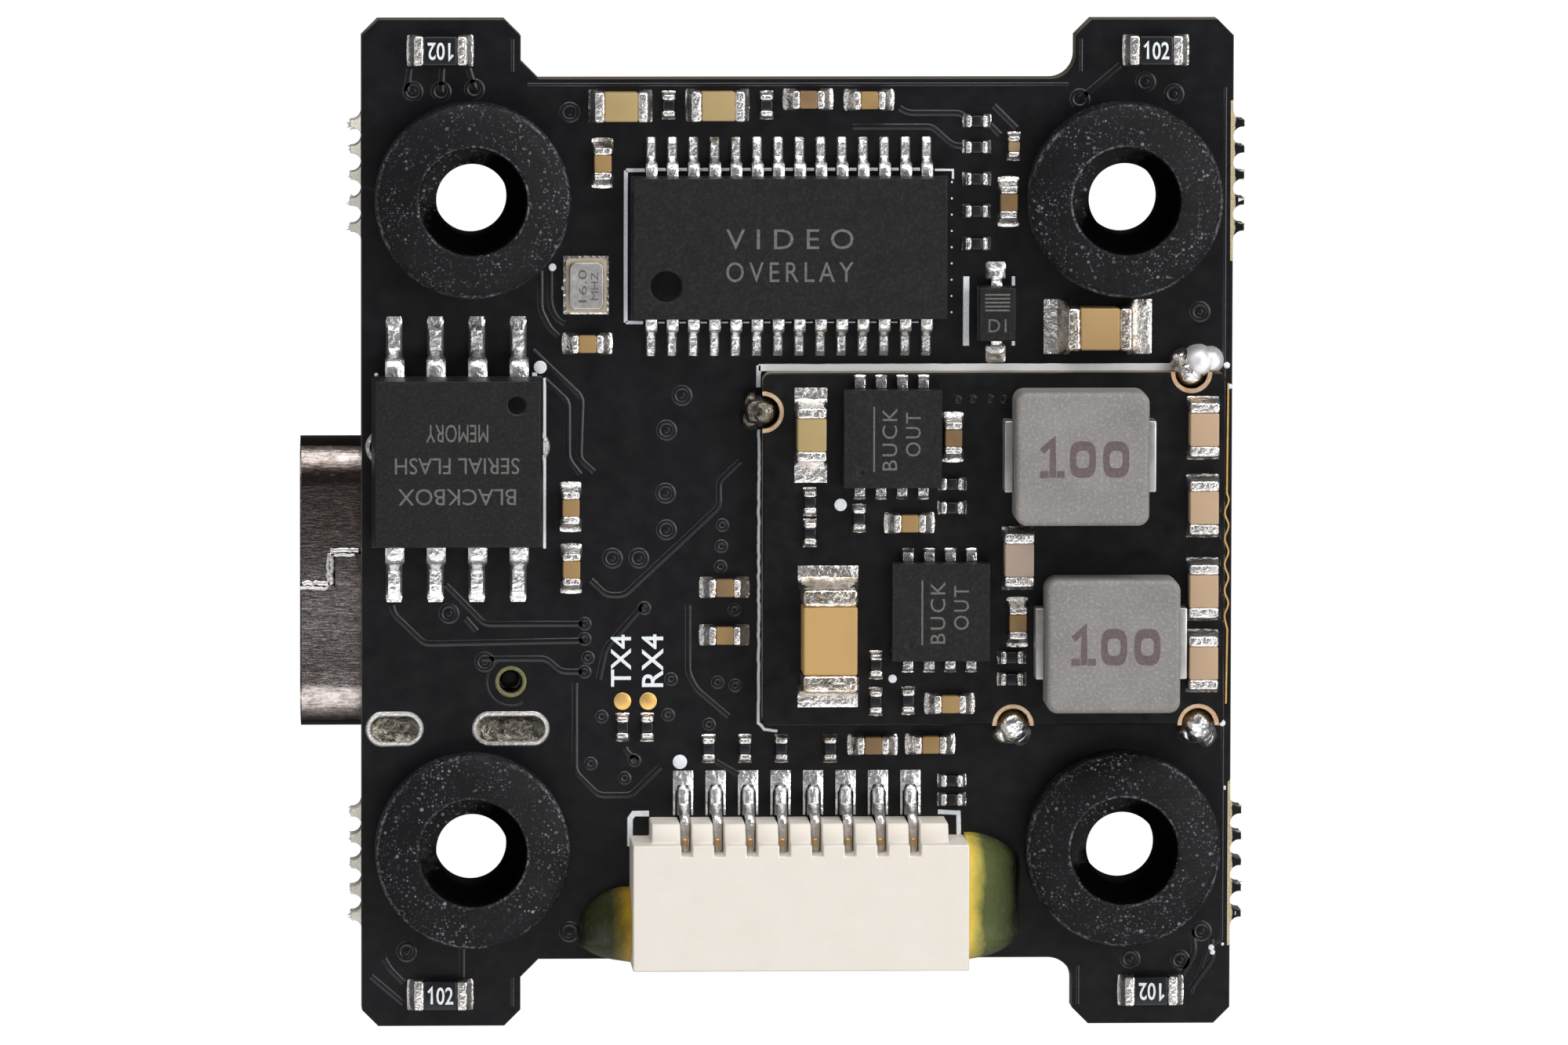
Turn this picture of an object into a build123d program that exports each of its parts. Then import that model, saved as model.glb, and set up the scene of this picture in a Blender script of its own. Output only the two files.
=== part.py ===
from build123d import *
import os

# Flight controller board, component side up.
# Millimetres.  Origin: centre of the four mounting holes, on the board's top face.
# +X to the converter module, +Y away from the harness socket, +Z out of the top face.

# ---------------------------------------------------------------- driving dimensions

HOLE_PITCH = 20.0
BOARD_THICKNESS = 1.2
BOARD_WIDTH = 26.75
BOARD_LENGTH = 31.0
WAIST_TOP_Y = 13.68
WAIST_BOTTOM_Y = -13.44
TAB_INNER_X = 8.5
TAB_CORNER_CUT = 0.5
WAIST_CHAMFER = 0.55
WAIST_FILLET = 0.75
UNDERSIDE_Z = -BOARD_THICKNESS

# Break-off webs left on the long edges.
WEB_REACH = 0.34
WEB_PITCH = 0.8
WEB_HOLE_RADIUS = 0.29
WEB_HOLES = 6
WEB_CENTRES_Y = (10.7, -10.5)

# Anti-vibration grommets.
GROMMET_RADIUS = 3.0
GROMMET_FLANGE = 1.6
GROMMET_EDGE = 0.3
GROMMET_RECESS_RADIUS = 1.62
GROMMET_RECESS_DEPTH = 1.15
GROMMET_BORE_RADIUS = 1.1
GROMMET_NECK_RADIUS = 1.98
BOARD_HOLE_RADIUS = 2.0

# USB-C receptacle on the underside, mouth towards -X.
USB_Y = -1.97
USB_WIDTH = 8.94
USB_HEIGHT = 3.2
USB_WALL = 0.25
USB_CORNER = 1.45
USB_MOUTH_X = -15.2
USB_REAR_X = -7.9
USB_STAKE_SPACING = USB_WIDTH - USB_WALL
USB_SLOTS = ((-12.37, 1.5), (-8.8, 2.1))
USB_SLOT_WIDTH = 0.8
USB_STAKE_THICKNESS = USB_WALL
USB_STAKE_TOP = -0.45
USB_PEG_X = -8.8
USB_PEG_SPACING = 5.78
USB_PEG_HOLE_RADIUS = 0.36
USB_PEG_RADIUS = 0.25
USB_TONGUE_WIDTH = 6.69
USB_TONGUE_THICKNESS = 0.7
USB_TONGUE_TIP_X = -14.2
USB_BLOCK_FRONT_X = -9.6
USB_CONTACTS = 12
USB_CONTACT_PITCH = 0.5
USB_CONTACT_WIDTH = 0.25
USB_CONTACT_THICKNESS = 0.05

# Eight-way, 1.0 mm pitch harness socket on the bottom edge, mouth towards -Y.
SOCKET_WAYS = 8
SOCKET_PITCH = 1.0
SOCKET_WIDTH = 10.3
SOCKET_HEIGHT = 2.95
SOCKET_FRONT_Y = -13.5
SOCKET_STEP_Y = -9.62
SOCKET_LEDGE_Y = -9.05
SOCKET_LEDGE_Z = 2.3
SOCKET_WALL = 0.45
SOCKET_CAVITY_DEPTH = 3.3
SOCKET_PIN = 0.3
SOCKET_PIN_Z = 1.35
SOCKET_TAIL_Y = -7.9
SOCKET_TAB = 0.3

# Semiconductors: body length along the lead row, body width, total height.
OSD_PLACE = (-0.29, 8.53)
OSD_BODY = (9.7, 4.4, 1.15)
OSD_SPAN = 6.4
OSD_PITCH = 0.65
OSD_LEADS_PER_SIDE = 14
OSD_LEAD = (0.27, 0.13)

FLASH_PLACE = (-10.48, 2.0)
FLASH_BODY = (5.23, 5.25, 1.9)
FLASH_SPAN = 7.95
FLASH_PITCH = 1.27
FLASH_LEADS_PER_SIDE = 4
FLASH_LEAD = (0.42, 0.2)

MCU_PLACE = (1.6, 0.3)
MCU_BODY = (10.0, 10.0, 1.4)
MCU_SPAN = 12.0
MCU_PITCH = 0.5
MCU_LEADS_PER_SIDE = 16
MCU_LEAD = (0.22, 0.13)

REGULATOR_PLACE = (10.9, -4.6)
REGULATOR_BODY = (2.9, 1.6, 1.1)
REGULATOR_SPAN = 2.8
REGULATOR_LEAD = (0.4, 0.15)

DIODE_PLACE = (6.08, 6.5)
DIODE_BODY = (1.2, 1.7, 0.95)
DIODE_SPAN = 2.5
DIODE_LEAD = (0.32, 0.12)

STAND_OFF = 0.1
BODY_TAPER = 7
BAND_SHARE = 0.2

# Crystals: width, length, base height, lid height, and centre on each side.
TOP_CRYSTAL = (1.25, 1.65, 0.3, 0.16)
TOP_CRYSTAL_PLACE = (-6.5, 7.35)
LOWER_CRYSTAL = (3.2, 2.5, 0.5, 0.2)
LOWER_CRYSTAL_PLACE = (-2.6, 9.0)
LID_MARGIN = 0.1

# Step-down converter module, soldered flat on the main board by its half-holes.
MODULE_X = (-1.1, 13.1)
MODULE_Y = (-6.15, 4.7)
MODULE_THICKNESS = 0.9
MODULE_CORNER = 0.25
CASTELLATION_RADIUS = 0.5
CASTELLATIONS = ((-1.1, 3.5), (12.05, 4.7), (6.6, -6.15), (12.3, -6.15))
SCALLOP_RADIUS = 0.3
SCALLOPS_Y = (0.5, -0.32, -1.14, -1.96, -2.78)
JOINT_HEIGHT = 1.0

CONVERTER_SIZE = 3.0
CONVERTER_HEIGHT = 0.85
CONVERTER_PLACES = ((2.84, 2.73), (4.33, -2.6))
CONVERTER_LEADS_PER_SIDE = 4
CONVERTER_PITCH = 0.65
CONVERTER_LEAD = (0.32, 0.3, 0.2)

INDUCTOR_SIZE = 4.1
INDUCTOR_HEIGHT = 2.0
INDUCTOR_CORNER = 0.35
INDUCTOR_PLACES = ((8.58, 2.2), (9.55, -3.56))
INDUCTOR_TERMINAL = (0.28, 2.2, 1.0)

# Chip components: length, width, height, end-cap length.
CHIP_SIZES = {
    "0201": (0.66, 0.34, 0.3, 0.18),
    "0402": (1.0, 0.52, 0.5, 0.24),
    "0603": (1.65, 0.88, 0.85, 0.32),
    "0805": (2.0, 1.28, 1.25, 0.4),
    "1206": (3.2, 1.65, 1.6, 0.55),
}
CAP_WRAP = 0.02
RESISTOR_HEIGHTS = {"0201": 0.25, "0603": 0.45}

# Places of the chip components: x, y, turned (True runs along Y).
TOP_CAPACITORS = {
    "0603": ((-5.45, 12.85, False), (-2.48, 12.87, False)),
    "0805": ((9.22, 6.05, False),),
    "0402": (
        (0.3, 13.05, False),
        (2.17, 13.03, False),
        (-6.46, 5.56, False),
        (-6.0, 11.1, True),
        (-6.97, 0.53, True),
        (-6.95, -1.37, True),
        (-2.24, -1.96, False),
        (-2.24, -3.43, False),
        (6.46, 9.9, True),
        (2.33, -6.83, False),
        (4.1, -6.81, False),
    ),
    "0201": ((6.62, 11.6, True),),
}
MODULE_CAPACITORS = {
    "0603": (
        (0.36, 2.86, True),
        (6.73, -1.0, True),
        (12.4, 3.0, True),
        (12.4, 0.6, True),
        (12.4, -1.97, True),
        (12.4, -4.18, True),
    ),
    "1206": ((0.9, -3.4, True),),
    "0402": (
        (4.72, 2.73, True),
        (3.39, 0.1, False),
        (6.72, -2.97, True),
        (4.64, -5.47, False),
    ),
}
UNDERSIDE_CAPACITORS = {
    "0402": (
        (-3.9, -7.4, False),
        (-1.6, -7.4, False),
        (2.6, -7.4, False),
        (5.4, -7.4, False),
        (2.3, 7.9, False),
        (5.2, 7.9, False),
        (8.6, 2.6, True),
        (8.6, -2.2, True),
    ),
    "0603": ((8.7, -6.4, False),),
}
TOP_RESISTORS = {
    "0603": (
        (-10.97, 14.55, False),
        (10.97, 14.55, False),
        (-10.97, -14.52, False),
        (10.93, -14.46, False),
    ),
    "0201": (
        (-3.97, 12.87, True),
        (-0.97, 12.87, True),
        (5.48, 12.38, False),
        (5.48, 11.58, False),
        (5.48, 10.6, False),
        (5.48, 9.61, False),
        (5.48, 8.61, False),
        (-5.37, -6.27, True),
        (-4.61, -6.27, True),
        (-2.72, -6.94, True),
        (-1.6, -6.94, True),
        (-0.48, -6.94, True),
        (1.02, -6.94, True),
        (4.77, -7.95, False),
        (4.77, -8.53, False),
    ),
}
MODULE_RESISTORS = {
    "0201": (
        (0.34, 0.75, True),
        (0.34, -0.21, True),
        (1.85, 0.24, True),
        (2.38, -4.28, True),
        (2.37, -5.41, True),
        (3.37, -5.38, True),
        (4.7, 1.29, False),
        (4.7, 0.56, False),
        (6.55, -4.06, False),
        (6.55, -4.73, False),
    ),
}
UNDERSIDE_RESISTORS = {
    "0201": (
        (-6.2, -1.0, False),
        (-6.2, -1.8, False),
        (8.5, 5.4, True),
        (8.5, -5.4, True),
        (-3.9, 11.4, True),
        (0.9, 9.6, True),
    ),
}

# Sensors and lamps on the underside: size x, size y, height, then places.
GYRO = (2.5, 3.0, 0.83)
GYRO_PLACE = (11.2, 0.0)
BAROMETER_BASE = (2.5, 2.0, 0.3)
BAROMETER_LID = (2.3, 1.8, 0.65)
BAROMETER_PORT_RADIUS = 0.25
BAROMETER_PLACE = (10.9, 4.4)
LED_SIZE = (1.6, 0.8)
LED_BASE_HEIGHT = 0.3
LED_LENS = (0.95, 0.8, 0.35)
LED_PLACES = ((-4.6, -10.2), (-2.2, -10.2))

# Boot switch on the underside: a plunger over a metal dome.
SWITCH_PLACE = (-10.3, 4.9)
SWITCH_BODY = (4.0, 3.0)
SWITCH_BASE_HEIGHT = 1.2
SWITCH_COVER_THICKNESS = 0.2
SWITCH_WELL_RADIUS = 1.2
SWITCH_WELL_FLOOR = 0.35
SWITCH_PLUNGER_RADIUS = 0.75
SWITCH_FLANGE_RADIUS = 1.05
SWITCH_FLANGE_THICKNESS = 0.25
SWITCH_PLUNGER_TOP = 2.0
SWITCH_COVER_HOLE_RADIUS = 0.8
SWITCH_NIB_RADIUS = 0.35
SWITCH_DOME_RADIUS = 1.0
SWITCH_DOME_HEIGHT = 0.35
SWITCH_GAP = 0.02
SWITCH_DOME_SHEET = 0.06
SWITCH_TERMINAL = (0.45, 1.0, 0.15)

# Wire pads on the underside, and the two round pads on top.
PAD_THICKNESS = 0.05
WIRE_PAD = (1.0, 1.6)
WIRE_PAD_PITCH = 1.5
WIRE_PAD_ROWS = (
    (0.0, 12.6, 9, False),
    (0.0, -12.4, 9, False),
)
TEST_PAD_RADIUS = 0.27
TEST_PADS = ((-5.37, -5.47), (-4.58, -5.47))

# Cured adhesive beads at the ends of the harness socket: inner x, outer x, low y, high y, height.
ADHESIVE_BEADS = (
    (-SOCKET_WIDTH / 2, -6.65, -13.35, -11.4, 2.3),
    (SOCKET_WIDTH / 2, 6.65, -13.35, -9.75, 2.4),
)

NODES = {}


# ---------------------------------------------------------------- helpers


def keep(node, solids):
    """Adds solids to the named sub-part."""
    NODES.setdefault(node, []).extend(solids)


def block(x_range, y_range, z_range):
    """A box between two corners."""
    size = [high - low for low, high in (x_range, y_range, z_range)]
    centre = [(low + high) / 2 for low, high in (x_range, y_range, z_range)]
    return Pos(*centre) * Box(*size)


def centred_block(x, y, width, length, low, high):
    """A box by its centre in plan and its two heights."""
    return Pos(x, y, (low + high) / 2) * Box(width, length, high - low)


def rounded_block(width, length, low, high, radius):
    """A box on the Z axis with rounded upright edges."""
    outline = RectangleRounded(width, length, radius)
    return Pos(0, 0, low) * extrude(outline, high - low)


def on_top(solids, x, y, base=0.0, turn=0.0):
    """Sets solids built on Z = 0 down on an upward face."""
    return [Pos(x, y, base) * Rot(0, 0, turn) * solid for solid in solids]


def underneath(solids, x, y, turn=0.0):
    """Hangs solids built on Z = 0 from the board's underside."""
    return [Pos(x, y, UNDERSIDE_Z) * Rot(0, 0, turn) * Rot(180, 0, 0) * solid for solid in solids]


def spread(count, pitch):
    """Centres of evenly spaced features about zero."""
    return [(index - (count - 1) / 2) * pitch for index in range(count)]


# ---------------------------------------------------------------- main board


def board_outline():
    """H-shaped outline: a rectangle less the two waists between the corner tabs."""
    half_length = BOARD_LENGTH / 2
    outline = Rectangle(BOARD_WIDTH, BOARD_LENGTH)
    for edge, waist in ((half_length, WAIST_TOP_Y), (-half_length, WAIST_BOTTOM_Y)):
        depth = 2 * abs(edge - waist)
        outline -= Pos(0, edge) * Rectangle(2 * TAB_INNER_X, depth)
    tab_corners = outline.vertices().filter_by(lambda v: abs(v.Y) > half_length - 0.01)
    outline = chamfer(tab_corners, TAB_CORNER_CUT)
    outline = chamfer(waist_corners(outline, -TAB_INNER_X), WAIST_CHAMFER)
    return fillet(waist_corners(outline, TAB_INNER_X), WAIST_FILLET)


def waist_corners(outline, x):
    """The two corners where the waists meet the tabs' inner edges at one x."""
    near = 0.01
    return [
        v
        for v in outline.vertices()
        if abs(v.X - x) < near and min(abs(v.Y - WAIST_TOP_Y), abs(v.Y - WAIST_BOTTOM_Y)) < near
    ]


def break_off_webs():
    """Ragged webs where the board was snapped out of its panel, between drilled holes."""
    webs = []
    length = WEB_PITCH * (WEB_HOLES - 1)
    for side in (-1, 1):
        edge = side * BOARD_WIDTH / 2
        for centre_y in WEB_CENTRES_Y:
            strip = Pos(edge + side * (WEB_REACH / 2 - 0.05), centre_y) * Rectangle(WEB_REACH + 0.1, length)
            for y in spread(WEB_HOLES, WEB_PITCH):
                hole_x = edge + side * WEB_HOLE_RADIUS
                strip -= Pos(hole_x, centre_y + y) * Circle(WEB_HOLE_RADIUS)
            webs.append(strip)
    return webs


def usb_slots():
    """The four plated slots for the receptacle's stakes, as flat shapes."""
    slots = []
    for side in (-1, 1):
        y = USB_Y + side * USB_STAKE_SPACING / 2
        for x, length in USB_SLOTS:
            slots.append(Pos(x, y) * SlotOverall(length, USB_SLOT_WIDTH))
    return slots


def main_board():
    plan = board_outline()
    for web in break_off_webs():
        plan += web
    for place in GridLocations(HOLE_PITCH, HOLE_PITCH, 2, 2):
        plan -= place * Circle(BOARD_HOLE_RADIUS)
    for slot in usb_slots():
        plan -= slot
    for side in (-1, 1):
        plan -= Pos(USB_PEG_X, USB_Y + side * USB_PEG_SPACING / 2) * Circle(USB_PEG_HOLE_RADIUS)
    keep("main_board", extrude(plan, -BOARD_THICKNESS).solids())


def vibration_grommets():
    """Rubber grommets: two flanges, a neck in the board's hole and a recessed bore."""
    top = GROMMET_FLANGE
    bottom = UNDERSIDE_Z - GROMMET_FLANGE
    edge = GROMMET_EDGE
    profile = make_face(
        Polyline(
            (GROMMET_BORE_RADIUS, bottom + GROMMET_RECESS_DEPTH),
            (GROMMET_RECESS_RADIUS, bottom + GROMMET_RECESS_DEPTH),
            (GROMMET_RECESS_RADIUS, bottom),
            (GROMMET_RADIUS - edge, bottom),
            (GROMMET_RADIUS, bottom + edge),
            (GROMMET_RADIUS, UNDERSIDE_Z),
            (GROMMET_NECK_RADIUS, UNDERSIDE_Z),
            (GROMMET_NECK_RADIUS, 0),
            (GROMMET_RADIUS, 0),
            (GROMMET_RADIUS, top - edge),
            (GROMMET_RADIUS - edge, top),
            (GROMMET_RECESS_RADIUS, top),
            (GROMMET_RECESS_RADIUS, top - GROMMET_RECESS_DEPTH),
            (GROMMET_BORE_RADIUS, top - GROMMET_RECESS_DEPTH),
            close=True,
        )
    )
    grommet = revolve(Plane.XZ * profile, Axis.Z)
    for place in GridLocations(HOLE_PITCH, HOLE_PITCH, 2, 2):
        keep("vibration_grommets", [place * grommet])


# ---------------------------------------------------------------- USB-C receptacle


def usb_section(inset):
    """Cross-section of the receptacle in the YZ plane, pulled in by inset."""
    centre_z = UNDERSIDE_Z - USB_HEIGHT / 2
    width = USB_WIDTH - 2 * inset
    height = USB_HEIGHT - 2 * inset
    section = RectangleRounded(width, height, USB_CORNER - inset)
    return Pos(0, USB_Y, centre_z) * (Plane.YZ * section)


def usb_seam():
    """Cutter for the folded seam in the wall against the board, with its two locking jogs."""
    slit = 0.07
    path = ((USB_MOUTH_X - 1, 0.0), (-14.2, 0.0), (-14.2, 1.0), (-13.2, 1.0), (-13.2, 0.0), (-11.5, 0.0))
    cutters = []
    for (x0, y0), (x1, y1) in zip(path, path[1:]):
        low_x, high_x = sorted((x0, x1))
        low_y, high_y = sorted((y0, y1))
        grow = slit / 2
        cutters.append(
            block(
                (low_x - grow, high_x + grow),
                (USB_Y + low_y - grow, USB_Y + high_y + grow),
                (UNDERSIDE_Z - USB_WALL - 0.1, UNDERSIDE_Z + 0.1),
            )
        )
    return cutters


def usb_shell():
    length = USB_REAR_X - USB_MOUTH_X
    tube = Pos(USB_MOUTH_X, 0, 0) * extrude(usb_section(0), length)
    hollow = Pos(USB_MOUTH_X, 0, 0) * extrude(usb_section(USB_WALL), length - USB_WALL)
    shell = tube - hollow
    for cutter in usb_seam():
        shell -= cutter
    for side in (-1, 1):
        y = USB_Y + side * USB_STAKE_SPACING / 2
        for x, slot_length in USB_SLOTS:
            stake_low = UNDERSIDE_Z - USB_CORNER
            shell += centred_block(x, y, slot_length - 0.6, USB_STAKE_THICKNESS, stake_low, USB_STAKE_TOP)
        peg_y = USB_Y + side * USB_PEG_SPACING / 2
        shell -= Pos(USB_PEG_X, peg_y, UNDERSIDE_Z) * Cylinder(USB_PEG_RADIUS + 0.05, 1.3)
    keep("usb_c_shell", shell.solids())


def usb_inner_parts():
    """Moulded block with its tongue and pegs, the contact strips and their solder tails."""
    centre_z = UNDERSIDE_Z - USB_HEIGHT / 2
    rear = USB_REAR_X - USB_WALL
    body = Pos(USB_BLOCK_FRONT_X, 0, 0) * extrude(usb_section(USB_WALL), rear - USB_BLOCK_FRONT_X)
    half = USB_TONGUE_THICKNESS / 2
    body += block(
        (USB_TONGUE_TIP_X, USB_BLOCK_FRONT_X + 0.1),
        (USB_Y - USB_TONGUE_WIDTH / 2, USB_Y + USB_TONGUE_WIDTH / 2),
        (centre_z - half, centre_z + half),
    )
    for side in (-1, 1):
        peg = Cylinder(USB_PEG_RADIUS, 1.2)
        body += Pos(USB_PEG_X, USB_Y + side * USB_PEG_SPACING / 2, UNDERSIDE_Z - 0.1) * peg
    keep("usb_c_tongue", body.solids())

    for y in spread(USB_CONTACTS, USB_CONTACT_PITCH):
        y_range = (USB_Y + y - USB_CONTACT_WIDTH / 2, USB_Y + y + USB_CONTACT_WIDTH / 2)
        x_range = (USB_TONGUE_TIP_X + 0.5, USB_BLOCK_FRONT_X)
        for face, outward in ((centre_z + half, 1), (centre_z - half, -1)):
            z_range = sorted((face, face + outward * USB_CONTACT_THICKNESS))
            keep("usb_c_contacts", [block(x_range, y_range, z_range)])
        tail_x = (USB_REAR_X, USB_REAR_X + 0.9)
        keep("usb_c_contacts", [block(tail_x, y_range, (UNDERSIDE_Z - 0.15, UNDERSIDE_Z))])


def usb_slot_solder():
    """Solder drawn up the plated slots around the stakes."""
    for slot in usb_slots():
        fill = Pos(0, 0, UNDERSIDE_Z) * extrude(slot, BOARD_THICKNESS - 0.12)
        for shell in NODES["usb_c_shell"]:
            fill -= shell
        keep("usb_slot_solder", fill.solids())


# ---------------------------------------------------------------- harness socket


def socket_housing():
    half = SOCKET_WIDTH / 2
    body = block((-half, half), (SOCKET_FRONT_Y, SOCKET_STEP_Y), (0.0, SOCKET_HEIGHT))
    body += block((-half + 0.6, half - 0.6), (SOCKET_STEP_Y - 0.1, SOCKET_LEDGE_Y), (0.0, SOCKET_LEDGE_Z))
    ledge_edges = body.edges().filter_by(Axis.X).filter_by(
        lambda e: abs(e.center().Y - SOCKET_LEDGE_Y) < 0.01 and e.center().Z > 1.0
    )
    body = chamfer(ledge_edges, 0.5, 0.32)
    wall = SOCKET_WALL
    body -= block(
        (-half + wall, half - wall),
        (SOCKET_FRONT_Y - 1, SOCKET_FRONT_Y + SOCKET_CAVITY_DEPTH),
        (wall, SOCKET_HEIGHT - wall),
    )
    for x in spread(SOCKET_WAYS, SOCKET_PITCH):
        body -= centred_block(x, SOCKET_LEDGE_Y - 0.42, 0.34, 1.0, -1.0, SOCKET_HEIGHT + 1)
        body -= block(
            (x - SOCKET_PIN / 2 - 0.02, x + SOCKET_PIN / 2 + 0.02),
            (SOCKET_FRONT_Y, SOCKET_LEDGE_Y + 0.5),
            (SOCKET_PIN_Z - SOCKET_PIN / 2 - 0.02, SOCKET_PIN_Z + SOCKET_PIN / 2 + 0.02),
        )
    keep("esc_socket_housing", body.solids())


def socket_contacts():
    """Bent square pins: a straight blade in the cavity, a drop behind the wall, a tail on the pad."""
    half = SOCKET_PIN / 2
    back = SOCKET_LEDGE_Y + 0.1
    profile = make_face(
        Polyline(
            (SOCKET_FRONT_Y + 0.9, SOCKET_PIN_Z - half),
            (SOCKET_FRONT_Y + 0.9, SOCKET_PIN_Z + half),
            (back - 0.1, SOCKET_PIN_Z + half),
            (back + 0.15, SOCKET_PIN_Z),
            (back + 0.25, SOCKET_PIN),
            (SOCKET_TAIL_Y, SOCKET_PIN),
            (SOCKET_TAIL_Y, 0.04),
            (back, 0.04),
            (back - 0.12, SOCKET_PIN_Z - half),
            close=True,
        )
    )
    blade = extrude(Plane.YZ * profile, SOCKET_PIN / 2, both=True)
    for x in spread(SOCKET_WAYS, SOCKET_PITCH):
        keep("esc_socket_contacts", [Pos(x, 0, 0) * blade])


def socket_tabs_and_adhesive():
    """Solder tabs by the mouth, and the glue beads that cover them."""
    for inner, outer, low_y, high_y, height in ADHESIVE_BEADS:
        side = 1 if outer > inner else -1
        x_range = sorted((inner, inner + side * SOCKET_TAB))
        upright = block(x_range, (-13.0, -12.0), (0.0, 1.1))
        foot_x = sorted((inner, inner + side * 0.8))
        tab = upright + block(foot_x, (-13.0, -12.0), (0.0, 0.2))
        keep("esc_socket_tabs", tab.solids())

        wedge = make_face(
            Polyline(
                (inner, 0.0),
                (outer, 0.0),
                (outer - side * 0.1, 0.35),
                (inner + side * 0.5, height * 0.62),
                (inner, height),
                close=True,
            )
        )
        bead = Pos(0, high_y, 0) * extrude(Plane.XZ * wedge, high_y - low_y)
        keep("socket_adhesive", (bead - tab).solids())


# ---------------------------------------------------------------- moulded packages


def moulded_body(length, width, height):
    """A moulded package: two drafted halves about a straight parting band."""
    middle = (height + STAND_OFF) / 2
    band = BAND_SHARE * (height - STAND_OFF)
    low, high = middle - band / 2, middle + band / 2
    body = centred_block(0, 0, length, width, low, high)
    outline = Rectangle(length, width)
    body += Pos(0, 0, high) * extrude(outline, height - high, taper=BODY_TAPER)
    body += Pos(0, 0, low) * extrude(outline, -(low - STAND_OFF), taper=BODY_TAPER)
    return body


def gull_lead(width, thickness, body_edge, tip, shoulder_z):
    """A gull-wing lead that leaves the body at y = body_edge and ends flat at y = tip."""
    reach = tip - body_edge
    knee = body_edge + 0.28 * reach
    heel = body_edge + 0.52 * reach
    profile = make_face(
        Polyline(
            (body_edge, shoulder_z + thickness / 2),
            (knee, shoulder_z + thickness / 2),
            (heel, thickness),
            (tip, thickness),
            (tip, 0.01),
            (heel - thickness * 0.75, 0.01),
            (knee - thickness * 0.75, shoulder_z - thickness / 2),
            (body_edge, shoulder_z - thickness / 2),
            close=True,
        )
    )
    return extrude(Plane.YZ * profile, width / 2, both=True)


def lead_row(count, pitch, lead, body, span, turns):
    """Rows of leads on the sides given by turns, in degrees."""
    width, thickness = lead
    length, depth, height = body
    shoulder_z = (height + STAND_OFF) / 2
    leads = []
    for turn in turns:
        edge = depth / 2 if turn in (0, 180) else length / 2
        one = gull_lead(width, thickness, edge, span / 2, shoulder_z)
        leads += [Rot(0, 0, turn) * Pos(x, 0, 0) * one for x in spread(count, pitch)]
    return leads


def osd_chip():
    leads = lead_row(OSD_LEADS_PER_SIDE, OSD_PITCH, OSD_LEAD, OSD_BODY, OSD_SPAN, (0, 180))
    body = moulded_body(*OSD_BODY)
    pin_one = Pos(-3.8, -1.15, OSD_BODY[2]) * Cylinder(0.5, 0.12)
    keep("osd_chip_body", on_top([body - pin_one], *OSD_PLACE))
    keep("osd_chip_leads", on_top(leads, *OSD_PLACE))


def flash_chip():
    leads = lead_row(FLASH_LEADS_PER_SIDE, FLASH_PITCH, FLASH_LEAD, FLASH_BODY, FLASH_SPAN, (0, 180))
    body = moulded_body(*FLASH_BODY)
    pin_one = Pos(1.8, 1.8, FLASH_BODY[2]) * Cylinder(0.3, 0.12)
    keep("flash_chip_body", on_top([body - pin_one], *FLASH_PLACE))
    keep("flash_chip_leads", on_top(leads, *FLASH_PLACE))


def processor():
    leads = lead_row(MCU_LEADS_PER_SIDE, MCU_PITCH, MCU_LEAD, MCU_BODY, MCU_SPAN, (0, 90, 180, 270))
    body = moulded_body(*MCU_BODY)
    pin_one = Pos(-4.1, 4.1, MCU_BODY[2]) * Cylinder(0.4, 0.12)
    keep("processor_body", underneath([body - pin_one], *MCU_PLACE))
    keep("processor_leads", underneath(leads, *MCU_PLACE))


def regulator():
    """Five-lead voltage regulator."""
    pitch = 0.95
    length, depth, height = REGULATOR_BODY
    shoulder_z = (height + STAND_OFF) / 2
    one = gull_lead(*REGULATOR_LEAD, depth / 2, REGULATOR_SPAN / 2, shoulder_z)
    leads = [Pos(x, 0, 0) * one for x in (-pitch, 0, pitch)]
    leads += [Rot(0, 0, 180) * Pos(x, 0, 0) * one for x in (-pitch, pitch)]
    keep("regulator_body", underneath([moulded_body(*REGULATOR_BODY)], *REGULATOR_PLACE))
    keep("regulator_leads", underneath(leads, *REGULATOR_PLACE))


def diode():
    leads = lead_row(1, 0.0, DIODE_LEAD, DIODE_BODY, DIODE_SPAN, (0, 180))
    keep("diode_body", on_top([moulded_body(*DIODE_BODY)], *DIODE_PLACE))
    keep("diode_leads", on_top(leads, *DIODE_PLACE))


def crystals():
    """Ceramic bases with a seam-welded metal lid, one on each side of the board."""
    placements = (
        (TOP_CRYSTAL, TOP_CRYSTAL_PLACE, on_top),
        (LOWER_CRYSTAL, LOWER_CRYSTAL_PLACE, underneath),
    )
    for (width, length, base_height, lid_height), place, put in placements:
        base = rounded_block(width, length, 0.0, base_height, 0.08)
        top = base_height + lid_height
        lid = rounded_block(width - 2 * LID_MARGIN, length - 2 * LID_MARGIN, base_height, top, 0.2)
        keep("crystal_bases", put([base], *place))
        keep("crystal_lids", put([lid], *place))


# ---------------------------------------------------------------- converter module


def module_board():
    """Small board with plated half-holes and a scalloped break-off edge."""
    width = MODULE_X[1] - MODULE_X[0]
    length = MODULE_Y[1] - MODULE_Y[0]
    centre = Pos(sum(MODULE_X) / 2, sum(MODULE_Y) / 2)
    plan = centre * RectangleRounded(width, length, MODULE_CORNER)
    for x, y in CASTELLATIONS:
        plan -= Pos(x, y) * Circle(CASTELLATION_RADIUS)
    for y in SCALLOPS_Y:
        plan -= Pos(MODULE_X[1] + SCALLOP_RADIUS * 0.6, y) * Circle(SCALLOP_RADIUS)
    keep("bec_board", extrude(plan, MODULE_THICKNESS).solids())


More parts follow.
